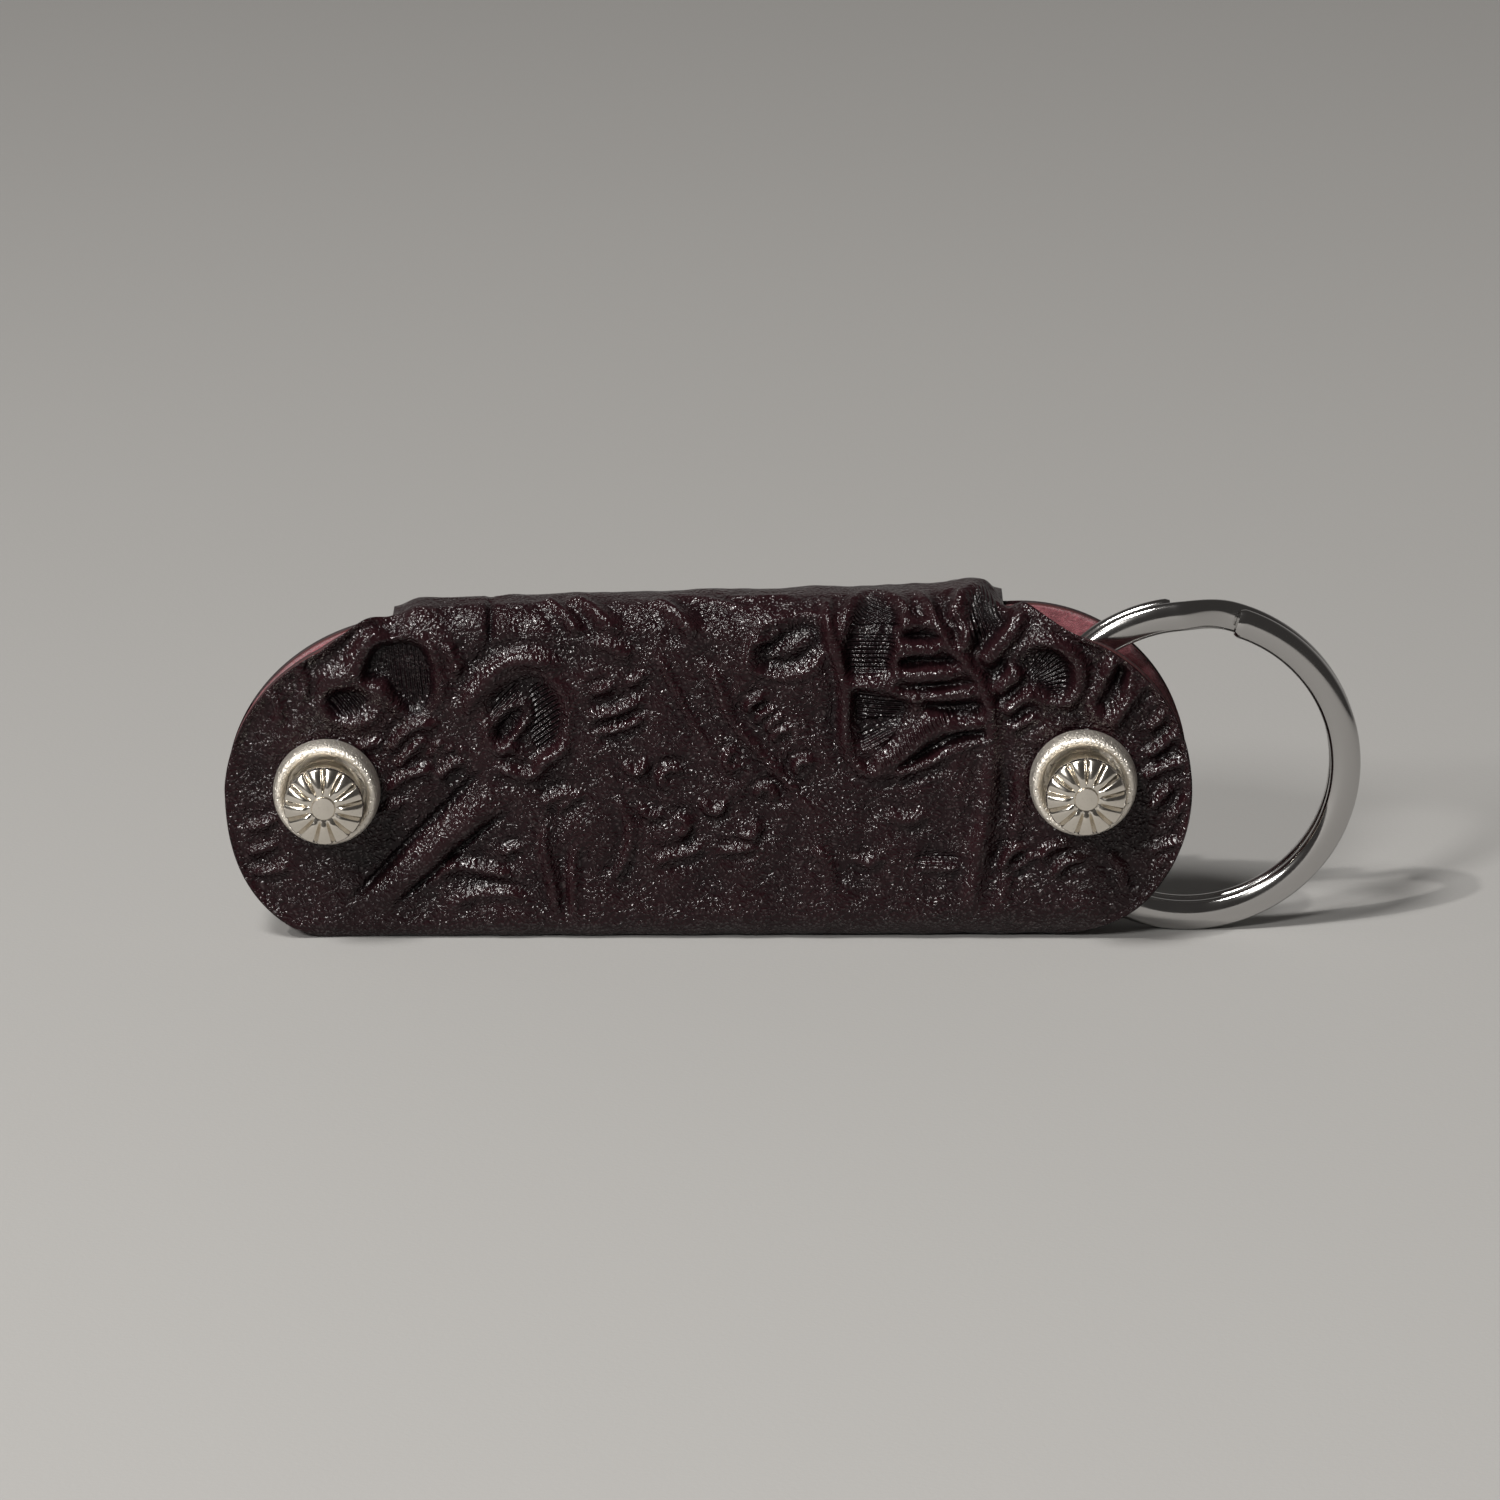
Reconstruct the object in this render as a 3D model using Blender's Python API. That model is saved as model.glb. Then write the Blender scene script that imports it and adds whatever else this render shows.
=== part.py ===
"""Key holder: a folded leather wrap on two thumb screws, with a snap flap and a split ring.

Metres, +Z up, the front towards -Y. The origin is the middle of the flat that the wrap rests on.
"""

import math

import bmesh
import bpy
from mathutils import Vector

MM = 0.001

# Leather: one strip makes the front panel, the fold under the keys, the back panel and the flap
LEATHER = 1.4 * MM
END_RADIUS = 16.0 * MM
END_SPACING = 57.7 * MM
FOLD_OVERLAP = 1.2 * MM
END_HEIGHT = END_RADIUS - FOLD_OVERLAP
LEFT_TOP_DROP = 0.6 * MM
UPPER_LEFT_TRIM = 0.7 * MM
WAIST = 66.0 * MM
SOLE_DEPTH = 0.35 * MM
LEFT_POCKET = 1.5 * MM

# Top bend and flap
BEND_START_DROP = 2.6 * MM
BEND_START = END_HEIGHT + END_RADIUS - BEND_START_DROP
REAR_BEND_DROP = 0.8 * MM
CROWN_RISE_SHARE = 0.2
CROWN_BACK_SHARE = 0.25
FRONT_BEND_POWER = 2.2
REAR_BEND_POWER = 2.6
SHOULDER_ANGLE = math.radians(64.0)
SHOULDER_SAG = 1.8 * MM
SHOULDER_CORNER = 0.8 * MM
CROWN_FLAT = 0.6 * MM
FLAP_WIDTH = 56.6 * MM
FLAP_SHIFT = -0.7 * MM
FLAP_END_HEIGHT = 8.6 * MM
FLAP_CORNER = 7.0 * MM
CROWN_GAP = 0.3 * MM

# Clearances
SEAT_GAP = 0.3 * MM
HOLE_GAP = 0.3 * MM
OVERRUN = 1.0 * MM
WELD = 0.0003 * MM

# Posts and thumb screws
POST_INSET = 10.0 * MM
POST_SPACING = END_SPACING + 2 * (END_RADIUS - POST_INSET)
POST_SHIFT = -0.25 * MM
LEFT_POST_DROP = 0.1 * MM
RIGHT_POST_RISE = 1.1 * MM
POST_RADIUS = 2.75 * MM
POST_HEAD_RADIUS = 4.5 * MM
POST_HEAD_THICKNESS = 1.2 * MM
POST_HEAD_EDGE = 0.35 * MM
POST_FLOOR = 0.6 * MM
POST_CROWN_SHARES = ((0.92, 1.0), (0.66, 0.33), (0.33, 0.0))
SLOT_WIDTH = 1.1 * MM
SLOT_DEPTH = 0.5 * MM
SCREW_RADIUS = 1.5 * MM
SCREW_LENGTH = 3.8 * MM
KNOB_RADIUS = 3.68 * MM
KNOB_NECK = 0.38 * MM
KNOB_REACH = 5.9 * MM
KNOB_DOME = 0.6 * MM
KNOB_RIM = 0.5 * MM
PETALS = 13
PETAL_GROOVE = 0.3 * MM
PETAL_SCALLOP = 0.09 * MM
PETAL_FACE_SHARES = ((0.12, 0.0, 0.35), (0.55, 0.3, 0.7), (1.0, 1.0, 1.0))
GROOVE_SHARES = ((0.0, 1.0), (0.12, 0.25), (0.5, 0.0), (0.88, 0.25))
RIM_GROOVE_SHARE = 0.6
BOSS_RADIUS = 1.07 * MM
BOSS_TOP_SHARE = 0.88
BOSS_HEIGHT = 0.18 * MM
BOSS_BORDER = 0.33 * MM

# Bezels, the domed cup washers round the knobs
BEZEL_RADIUS = 4.95 * MM
BEZEL_LIP_RADIUS = 3.7 * MM
BEZEL_HEIGHT = 2.1 * MM
BEZEL_FLOOR = 0.5 * MM
BEZEL_DOME_SHARES = (
    (0.9, 0.0),
    (1.0, 0.12),
    (1.0, 0.3),
    (0.88, 0.66),
    (0.62, 0.92),
    (0.3, 1.0),
    (0.06, 0.93),
    (0.0, 0.8),
)

# Snap
SNAP_RISE = 0.8 * MM
SNAP_HEIGHT = END_HEIGHT + SNAP_RISE
SNAP_STACK = 2.8 * MM
SNAP_SHANK_RADIUS = 1.5 * MM
SNAP_WALL = 0.5 * MM
SNAP_CAP_RADIUS = 5.0 * MM
SNAP_CAP_DOME = 1.3 * MM
SNAP_CAP_EDGE = 0.35 * MM
SNAP_DOME_SHARES = ((0.72, 0.82), (0.4, 0.96))
SNAP_SOCKET_RADIUS = 4.3 * MM
SNAP_SOCKET_BORE = 2.85 * MM
SNAP_SOCKET_DEPTH = 1.4 * MM
SNAP_STUD_RADIUS = 4.2 * MM
SNAP_KNOB_RADIUS = 2.3 * MM
SNAP_KNOB_HEIGHT = 1.2 * MM
SNAP_KNOB_SHARES = ((0.9, 0.0), (1.0, 0.6), (0.7, 1.0))
SNAP_POST_RADIUS = 3.9 * MM

# Split ring
RING_RADIUS = 15.875 * MM
RING_BAND = 2.8 * MM
RING_WIRE = 1.5 * MM
RING_COIL_GAP = 0.42 * MM
RING_ROOM = 1.5 * MM
RING_SHIFT = 0.2 * MM
RING_TABLE_GAP = 0.05 * MM
RING_SECTION_POWER = 2.4
RAMP_START = math.radians(95.0)
RAMP_END = math.radians(75.0)
RAMP_END_GAP = math.radians(2.0)

# How finely the curved shapes are divided
COLUMNS = 12
PANEL_ROWS = 12
FOLD_ROWS = 5
SHOULDER_ROWS = 9
CROWN_ROWS = 2
BEND_ROWS = 5
FLAP_ROWS = 6
ROUND_STEPS = 36
RING_STEPS_PER_TURN = 60
RING_SECTION_STEPS = 12
HOLE_STEPS = 32
SHARP_EDGE = math.radians(40.0)

# Worked out from the values above
RING_STACK = 2 * RING_WIRE + RING_COIL_GAP
RIGHT_POCKET = RING_STACK + 2 * RING_ROOM
LEFT_POST_X = POST_SHIFT - POST_SPACING / 2
RIGHT_POST_X = POST_SHIFT + POST_SPACING / 2
LEFT_POST_HEIGHT = END_HEIGHT - LEFT_POST_DROP
RIGHT_POST_HEIGHT = END_HEIGHT + RIGHT_POST_RISE
POSTS = {
    "left": (LEFT_POST_X, LEFT_POST_HEIGHT),
    "right": (RIGHT_POST_X, RIGHT_POST_HEIGHT),
}
FLAP_EDGES = {-1: FLAP_SHIFT - FLAP_WIDTH / 2, 1: FLAP_SHIFT + FLAP_WIDTH / 2}
QUARTER = math.pi / 2

# Colours: base colour, roughness, metallic
LOOKS = {
    "leather": ((0.028, 0.014, 0.016), 0.42, 0.0),
    "flap_leather": ((0.031, 0.016, 0.018), 0.45, 0.0),
    "satin_nickel": ((0.62, 0.58, 0.52), 0.36, 1.0),
    "polished_nickel": ((0.74, 0.69, 0.62), 0.16, 1.0),
    "chrome": ((0.72, 0.71, 0.7), 0.08, 1.0),
    "snap_nickel": ((0.66, 0.63, 0.58), 0.22, 1.0),
}


def clear_scene():
    for thing in list(bpy.data.objects):
        bpy.data.objects.remove(thing, do_unlink=True)


def look(name):
    """The named Principled material, made once."""
    known = bpy.data.materials.get(name)
    if known:
        return known
    made = bpy.data.materials.new(name)
    made.use_nodes = True
    shader = made.node_tree.nodes["Principled BSDF"]
    colour, roughness, metallic = LOOKS[name]
    shader.inputs["Base Color"].default_value = (*colour, 1.0)
    shader.inputs["Roughness"].default_value = roughness
    shader.inputs["Metallic"].default_value = metallic
    return made


def finish(name, mesh, place, finish_name, parent, closed=True):
    """An object from a bmesh whose points are relative to place."""
    if closed:
        bmesh.ops.recalc_face_normals(mesh, faces=mesh.faces)
    data = bpy.data.meshes.new(name)
    mesh.to_mesh(data)
    mesh.free()
    data.shade_smooth()
    data.set_sharp_from_angle(angle=SHARP_EDGE)
    data.materials.append(look(finish_name))
    made = bpy.data.objects.new(name, data)
    bpy.context.scene.collection.objects.link(made)
    made.parent = parent
    made.location = Vector(place) - (parent.location if parent else Vector())
    return made


def mix(low, high, share):
    return low + (high - low) * share


def ease(share):
    """Smooth step from 0 to 1."""
    share = min(max(share, 0.0), 1.0)
    return share * share * (3 - 2 * share)


# The closed wrap is a wedge: thin at the left post, thicker at the right post where the ring is
def half_thickness(x):
    left = LEATHER + LEFT_POCKET / 2
    right = LEATHER + RIGHT_POCKET / 2
    return mix(left, right, (x - LEFT_POST_X) / POST_SPACING)


def tangent_height(x):
    """Where the flat panels end and the fold under the keys begins."""
    return half_thickness(x) - SOLE_DEPTH


def sole_angle(x):
    """From straight down to the edge of the flat sole, seen from the fold's centre line."""
    return math.acos(tangent_height(x) / half_thickness(x))


def fold_point(x, share):
    """(forward, height, pattern height) on the fold, from its tangent line (0) to the sole's edge (1)."""
    angle = mix(QUARTER, sole_angle(x), share)
    radius = half_thickness(x)
    forward = radius * math.sin(angle)
    height = tangent_height(x) - radius * math.cos(angle)
    return forward, max(height, 0.0), tangent_height(x) - radius * (QUARTER - angle)


def back_top(x):
    """Height of the back panel's top edge, which sinks a little towards the left."""
    drop = mix(LEFT_TOP_DROP, 0.0, x / END_SPACING + 0.5)
    return END_HEIGHT + END_RADIUS - drop


def crown(x):
    """(y, z) of the highest line of the top bend."""
    half = half_thickness(x)
    return CROWN_BACK_SHARE * half, back_top(x) + SEAT_GAP + LEATHER + CROWN_RISE_SHARE * half


def front_bend_point(x, share):
    """(y, z) on the top bend, from the front panel (0) to the flat of the crown (1)."""
    angle = QUARTER * share
    crown_y, crown_z = crown(x)
    top_y = crown_y - CROWN_FLAT
    power = 2 / FRONT_BEND_POWER
    y = top_y - (top_y + half_thickness(x)) * max(math.cos(angle), 0.0) ** power
    return y, BEND_START + (crown_z - BEND_START) * math.sin(angle) ** power


def bend_share(x, length):
    """The share of the front bend reached after this length along it."""
    run, last = 0.0, front_bend_point(x, 0.0)
    for step in range(1, ROUND_STEPS + 1):
        point = front_bend_point(x, step / ROUND_STEPS)
        stretch = math.dist(point, last)
        if run + stretch >= length:
            return (step - 1 + (length - run) / stretch) / ROUND_STEPS
        run, last = run + stretch, point
    return 1.0


def bend_top(x):
    """Pattern height at which the front bend reaches the crown."""
    points = [front_bend_point(x, step / ROUND_STEPS) for step in range(ROUND_STEPS + 1)]
    return BEND_START + sum(math.dist(*pair) for pair in zip(points, points[1:]))


def rear_face(x):
    """Distance behind the middle plane of the flap's grain side, where it leaves the bend."""
    return half_thickness(x) + SEAT_GAP + LEATHER


def flap_point(x, share):
    """(y, z) on the flap's grain side: the rear bend up to share 1, then down to its end at 2."""
    crown_y, crown_z = crown(x)
    foot = back_top(x) - REAR_BEND_DROP
    if share <= 1:
        angle = QUARTER * share
        power = 2 / REAR_BEND_POWER
        top_y = crown_y + CROWN_FLAT
        y = top_y + (rear_face(x) - top_y) * math.sin(angle) ** power
        return y, foot + (crown_z - foot) * max(math.cos(angle), 0.0) ** power
    z = mix(foot, FLAP_END_HEIGHT, share - 1)
    clear_of_snap = SNAP_HEIGHT + SNAP_CAP_RADIUS
    lean = (SNAP_STACK - SEAT_GAP) * ease((foot - z) / (foot - clear_of_snap))
    return rear_face(x) + lean, z


def end_point(angle, side):
    """(x, pattern height) on a panel's round end, from its bottom (-90 degrees) to its top (90)."""
    radius, rise = END_RADIUS, END_RADIUS
    if side < 0 < angle:
        trim = UPPER_LEFT_TRIM * math.sin(2 * angle)
        radius, rise = radius - trim, rise - trim - LEFT_TOP_DROP * math.sin(angle)
    x = side * (END_SPACING / 2 + radius * max(math.cos(angle), 0.0))
    return x, END_HEIGHT + rise * math.sin(angle)


def fold_end(share, side):
    """x where a fold row ends: on the round end, but never inside the waist."""
    x = side * END_SPACING / 2
    for _ in range(ROUND_STEPS):
        below = min(END_HEIGHT - fold_point(x, share)[2], END_RADIUS)
        reach = END_SPACING / 2 + math.sqrt(END_RADIUS**2 - below**2)
        x = side * max(reach, WAIST / 2)
    return x


def row(ends, place):
    """Points along one row between its two ends, each end (x, value)."""
    (left_x, left), (right_x, right) = ends
    points = []
    for column in range(COLUMNS + 1):
        share = column / COLUMNS
        x = mix(left_x, right_x, share)
        points.append(place(x, mix(left, right, share)))
    return points


def fold_rows(side):
    """Rows of the fold on one side of the sole's middle line, from the tangent line down."""
    rows = []
    for step in range(FOLD_ROWS + 1):
        share = step / FOLD_ROWS

        def place(x, _, share=share):
            forward, height, _ = fold_point(x, share)
            return Vector((x, side * forward, height))

        rows.append(row([(fold_end(share, -1), 0.0), (fold_end(share, 1), 0.0)], place))
    return rows


def tangent_angle(side):
    """The angle on the round end at which the fold begins."""
    x = fold_end(0.0, side)
    return math.asin((tangent_height(x) - END_HEIGHT) / END_RADIUS)


def panel_rows(side, top_angle):
    """Rows of a flat panel, from just above the tangent line up to this angle on the round ends."""
    rows = []
    for step in range(1, PANEL_ROWS + 1):
        share = step / PANEL_ROWS
        ends = [end_point(mix(tangent_angle(end), top_angle, share), end) for end in (-1, 1)]
        rows.append(row(ends, lambda x, p: front_or_back(x, p, side)))
    return rows


def front_or_back(x, pattern_height, side):
    """The grain side of a panel; above its bend line the front panel follows the top bend."""
    over = pattern_height - BEND_START
    if side > 0 or over <= 0:
        return Vector((x, side * half_thickness(x), pattern_height))
    return Vector((x, *front_bend_point(x, bend_share(x, over))))


def shoulder_end(step, side):
    """(x, pattern height) along the shoulder, from the round end to the flap's straight edge."""
    start_x, start = end_point(SHOULDER_ANGLE, side)
    end = bend_top(FLAP_EDGES[side]) - SHOULDER_CORNER
    middle = (start + end) / 2 - SHOULDER_SAG
    share = step / SHOULDER_ROWS
    x = mix(start_x, FLAP_EDGES[side], share)
    return x, mix(mix(start, middle, share), mix(middle, end, share), share)


def shoulder_rows():
    rows = []
    for step in range(1, SHOULDER_ROWS + 1):
        ends = [shoulder_end(step, side) for side in (-1, 1)]
        rows.append(row(ends, lambda x, p: front_or_back(x, p, -1)))
    return rows


def crown_rows():
    """The rest of the top bend, up to the line where the flap begins."""
    starts = {side: shoulder_end(SHOULDER_ROWS, side)[1] for side in (-1, 1)}
    rows = []
    for step in range(1, CROWN_ROWS + 1):
        share = step / CROWN_ROWS

        def place(x, _, share=share):
            start = mix(starts[-1], starts[1], (x - FLAP_EDGES[-1]) / FLAP_WIDTH)
            first = bend_share(x, start - BEND_START)
            return Vector((x, *front_bend_point(x, mix(first, 1.0, share))))

        rows.append(row([(FLAP_EDGES[-1], 0.0), (FLAP_EDGES[1], 0.0)], place))
    rows.append(crown_row(-1))
    return rows


def crown_row(side):
    """The cut edge along the crown, in front of the hinge line (-1) or behind it (1)."""

    def place(x, _):
        y, z = crown(x)
        return Vector((x, y + side * CROWN_GAP / 2, z))

    return row([(FLAP_EDGES[-1], 0.0), (FLAP_EDGES[1], 0.0)], place)


def leather_object(name, rows, origin, finish_name, parent):
    """A sheet through these rows, grain side out, given its thickness on the flesh side.

    Rows run as the strip does: up the flap, over the bend, down the front, and up the back.
    """
    mesh = bmesh.new()
    grid = [[mesh.verts.new(point - origin) for point in points] for points in rows]
    for upper, lower in zip(grid, grid[1:]):
        for a, b, c, d in zip(upper, upper[1:], lower[1:], lower):
            mesh.faces.new((a, d, c, b))
    made = finish(name, mesh, origin, finish_name, parent, closed=False)
    thickness = made.modifiers.new("Thickness", "SOLIDIFY")
    thickness.thickness = LEATHER
    thickness.offset = -1.0
    thickness.use_even_offset = True
    thickness.use_quality_normals = True
    return made


def cutter(name, x, y_low, y_high, z, radius):
    """A hidden cylinder along Y."""
    mesh = bmesh.new()
    bmesh.ops.create_cone(
        mesh,
        cap_ends=True,
        segments=HOLE_STEPS,
        radius1=radius,
        radius2=radius,
        depth=y_high - y_low,
    )
    bmesh.ops.rotate(mesh, verts=mesh.verts, matrix=rotation_to_y())
    made = finish(name, mesh, (x, (y_low + y_high) / 2, z), "leather", None)
    made.hide_render = True
    made.display_type = "WIRE"
    return made


def rotation_to_y():
    return Vector((0.0, 0.0, 1.0)).rotation_difference(Vector((0.0, 1.0, 0.0))).to_matrix()


def drill(target, tool):
    hole = target.modifiers.new(tool.name, "BOOLEAN")
    hole.operation = "DIFFERENCE"
    hole.object = tool


def make_wrap(root):
    """Front panel with the top bend, the fold under the keys and the back panel, in one piece."""
    front = panel_rows(-1, SHOULDER_ANGLE) + shoulder_rows() + crown_rows()
    below_front, below_back = fold_rows(-1), fold_rows(1)
    sole = [Vector((point.x, 0.0, 0.0)) for point in below_front[-1]]
    rows = front[::-1] + below_front + [sole] + below_back[::-1] + panel_rows(1, QUARTER)
    made = leather_object("leather_wrap", rows, Vector(), "leather", root)
    for side, (x, z) in POSTS.items():
        reach = half_thickness(x) + OVERRUN
        drill(made, cutter(side + "_post_hole", x, -reach, reach, z, POST_RADIUS + HOLE_GAP))
    low, high = snap_panel_face() - LEATHER - OVERRUN, snap_panel_face() + OVERRUN
    radius = SNAP_SHANK_RADIUS + HOLE_GAP
    drill(made, cutter("snap_post_hole", FLAP_SHIFT, low, high, SNAP_HEIGHT, radius))
    return made


def crown_ends():
    return [Vector((x, *crown(x))) for x in (FLAP_EDGES[-1], FLAP_EDGES[1])]


def flap_rows():
    """Rows of the flap from its rounded lower end up to the crown."""
    rows = [crown_row(1)] + [flap_row(step / BEND_ROWS, 0.0) for step in range(BEND_ROWS + 1)]
    straight = 1 - FLAP_CORNER / (back_top(0.0) - REAR_BEND_DROP - FLAP_END_HEIGHT)
    for step in range(1, FLAP_ROWS + 1):
        share = 1 + straight * step / FLAP_ROWS
        rows.append(flap_row(share, 0.0))
    for step in range(1, FLAP_ROWS + 1):
        angle = QUARTER * step / FLAP_ROWS
        share = 1 + mix(straight, 1.0, math.sin(angle))
        rows.append(flap_row(share, FLAP_CORNER * (1 - math.cos(angle))))
    return rows[::-1]


def flap_row(share, inset):
    ends = [(FLAP_EDGES[-1] + inset, share), (FLAP_EDGES[1] - inset, share)]
    return row(ends, lambda x, value: Vector((x, *flap_point(x, value))))


def make_flap(root):
    """The free end of the strip, from the crown of the top bend down behind the back panel."""
    left, right = crown_ends()
    made = leather_object("closure_flap", flap_rows(), (left + right) / 2, "flap_leather", root)
    low = snap_panel_face() + SNAP_STACK - OVERRUN
    high = low + LEATHER + 2 * OVERRUN
    radius = SNAP_SHANK_RADIUS + HOLE_GAP
    drill(made, cutter("snap_cap_hole", FLAP_SHIFT, low, high, SNAP_HEIGHT, radius))
    return made


def turned(name, profile, centre, finish_name, parent):
    """A body turned about the Y axis from (radius, y) points; a ring if none lies on the axis."""
    mesh = bmesh.new()
    points = [mesh.verts.new((radius, y, 0.0)) for radius, y in profile]
    edges = [mesh.edges.new(pair) for pair in zip(points, points[1:])]
    if profile[0][0] > 0:
        edges.append(mesh.edges.new((points[-1], points[0])))
    bmesh.ops.spin(
        mesh,
        geom=points + edges,
        axis=(0.0, 1.0, 0.0),
        cent=(0.0, 0.0, 0.0),
        steps=ROUND_STEPS,
        angle=2 * math.pi,
    )
    bmesh.ops.remove_doubles(mesh, verts=mesh.verts, dist=WELD)
    return finish(name, mesh, centre, finish_name, parent)


def make_bezel(name, x, z, root):
    """A cup washer: a domed rim round a flat floor that the knob stands over."""
    bore = POST_RADIUS + HOLE_GAP
    dome = [
        (mix(BEZEL_LIP_RADIUS, BEZEL_RADIUS, across), -BEZEL_HEIGHT * up)
        for across, up in BEZEL_DOME_SHARES
    ]
    profile = [(bore, 0.0)] + dome + [(BEZEL_LIP_RADIUS, -BEZEL_FLOOR), (bore, -BEZEL_FLOOR)]
    base = -half_thickness(x) - SEAT_GAP
    return turned(name, profile, (x, base, z), "satin_nickel", root)


def knob_base(x):
    """y of the knob's underside, just clear of the post's front end."""
    return -half_thickness(x) - SEAT_GAP - BEZEL_FLOOR - SEAT_GAP


def make_screw(name, x, z, root):
    """Thumb screw: a petalled, scalloped face on a smooth drum, and the shank that enters the post."""
    face = KNOB_REACH - BEZEL_FLOOR - 2 * SEAT_GAP
    border = BOSS_RADIUS + BOSS_BORDER
    neck = KNOB_RADIUS - KNOB_NECK
    rim_back = KNOB_DOME + KNOB_RIM - face
    boss = [
        (BOSS_RADIUS * BOSS_TOP_SHARE, -face - BOSS_HEIGHT, 0.0),
        (BOSS_RADIUS, -face - BOSS_HEIGHT / 2, 0.0),
        (BOSS_RADIUS, -face, 0.0),
        (border, -face, 0.0),
    ]
    petals = [
        (mix(border, KNOB_RADIUS, across), KNOB_DOME * down - face, groove)
        for across, down, groove in PETAL_FACE_SHARES
    ]
    drum = [
        (KNOB_RADIUS, rim_back, RIM_GROOVE_SHARE),
        (neck, rim_back + KNOB_NECK, 0.0),
        (neck, 0.0, 0.0),
        (SCREW_RADIUS, 0.0, 0.0),
        (SCREW_RADIUS, SCREW_LENGTH, 0.0),
    ]
    mesh = bmesh.new()
    skin(mesh, [petal_ring(*ring) for ring in boss + petals + drum])
    return finish(name, mesh, (x, knob_base(x), z), "polished_nickel", root)


def skin(mesh, rings):
    """A closed tube through rings of points, with a flat face at each end."""
    loops = [[mesh.verts.new(point) for point in ring] for ring in rings]
    for low, high in zip(loops, loops[1:]):
        for index, vert in enumerate(low):
            beside = (index + 1) % len(low)
            mesh.faces.new((vert, low[beside], high[beside], high[index]))
    mesh.faces.new(loops[0])
    mesh.faces.new(loops[-1])


def petal_ring(radius, y, depth_share):
    """One ring of points; depth_share says how far it dips into the grooves between the petals."""
    points = []
    for petal in range(PETALS):
        for place_share, dip_share in GROOVE_SHARES:
            angle = QUARTER + 2 * math.pi * (petal + place_share) / PETALS
            dip = dip_share * depth_share
            reach = radius - PETAL_SCALLOP * dip
            across, up = reach * math.cos(angle), reach * math.sin(angle)
            points.append((across, y + PETAL_GROOVE * dip, up))
    return points


def make_post(name, x, z, root):
    """Tubular post with a slotted head on the back panel; the screw enters it from the front."""
    half = half_thickness(x)
    front = -half - SEAT_GAP - BEZEL_FLOOR
    head = half + SEAT_GAP
    bore = SCREW_RADIUS + HOLE_GAP
    back = head + POST_HEAD_THICKNESS
    tube = [
        (0.0, head - POST_FLOOR),
        (bore, head - POST_FLOOR),
        (bore, front),
        (POST_RADIUS, front),
        (POST_RADIUS, head),
        (POST_HEAD_RADIUS, head),
        (POST_HEAD_RADIUS, back - 2 * POST_HEAD_EDGE),
    ]
    dome = [
        (POST_HEAD_RADIUS * across, back - POST_HEAD_EDGE * down)
        for across, down in POST_CROWN_SHARES
    ]
    profile = tube + dome + [(0.0, back)]
    made = turned(name, profile, (x, 0.0, z), "satin_nickel", root)
    mesh = bmesh.new()
    bmesh.ops.create_cube(mesh, size=1.0)
    size = Vector((2 * (POST_HEAD_RADIUS + OVERRUN), 2 * SLOT_DEPTH, SLOT_WIDTH))
    bmesh.ops.scale(mesh, vec=size, verts=mesh.verts)
    tool = finish(name + "_slot", mesh, (x, back, z), "satin_nickel", None)
    tool.hide_render = True
    tool.display_type = "WIRE"
    drill(made, tool)
    return made


def snap_panel_face():
    """y of the back panel's grain side at the snap."""
    return half_thickness(FLAP_SHIFT)


def snap_piece(name, profile, parent):
    return turned(name, profile, (FLAP_SHIFT, 0.0, SNAP_HEIGHT), "snap_nickel", parent)


def make_snap_post(root):
    """The rivet behind the back panel: a flat head in the pocket and a shank up into the stud."""
    inside = snap_panel_face() - LEATHER - SEAT_GAP
    top = snap_panel_face() + SEAT_GAP + SNAP_WALL
    profile = [
        (0.0, inside - SNAP_WALL),
        (SNAP_POST_RADIUS - SNAP_WALL / 2, inside - SNAP_WALL),
        (SNAP_POST_RADIUS, inside - SNAP_WALL / 2),
        (SNAP_POST_RADIUS, inside),
        (SNAP_SHANK_RADIUS, inside),
        (SNAP_SHANK_RADIUS, top),
        (0.0, top),
    ]
    return snap_piece("snap_post", profile, root)


def make_snap_stud(root):
    """The knob that the socket presses on to: a hollow cap over a flange."""
    foot = snap_panel_face() + SEAT_GAP
    flange = foot + SNAP_WALL
    top = flange + SNAP_KNOB_HEIGHT
    bore = SNAP_SHANK_RADIUS + HOLE_GAP
    knob = [
        (mix(bore, SNAP_KNOB_RADIUS, across), mix(flange, top, up))
        for across, up in SNAP_KNOB_SHARES
    ]
    profile = [
        (0.0, top - SNAP_WALL),
        (bore, top - SNAP_WALL),
        (bore, foot),
        (SNAP_STUD_RADIUS - SNAP_WALL / 2, foot),
        (SNAP_STUD_RADIUS, foot + SNAP_WALL / 2),
        (SNAP_STUD_RADIUS - SNAP_WALL / 2, flange),
        *knob,
        (0.0, top),
    ]
    return snap_piece("snap_stud", profile, root)


def snap_socket_back():
    """y of the socket's back, just clear of the flap's flesh side."""
    return snap_panel_face() + SNAP_STACK - SEAT_GAP


def make_snap_socket(flap):
    back = snap_socket_back()
    mouth = back - SNAP_SOCKET_DEPTH
    floor = back - SNAP_WALL / 2
    bore = SNAP_SHANK_RADIUS + HOLE_GAP
    profile = [
        (bore, back),
        (SNAP_SOCKET_RADIUS, back),
        (SNAP_SOCKET_RADIUS, mouth + SNAP_WALL / 2),
        (SNAP_SOCKET_RADIUS - SNAP_WALL / 2, mouth),
        (SNAP_SOCKET_BORE, mouth),
        (SNAP_SOCKET_BORE, floor),
        (bore, floor),
    ]
    return snap_piece("snap_socket", profile, flap)


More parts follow.
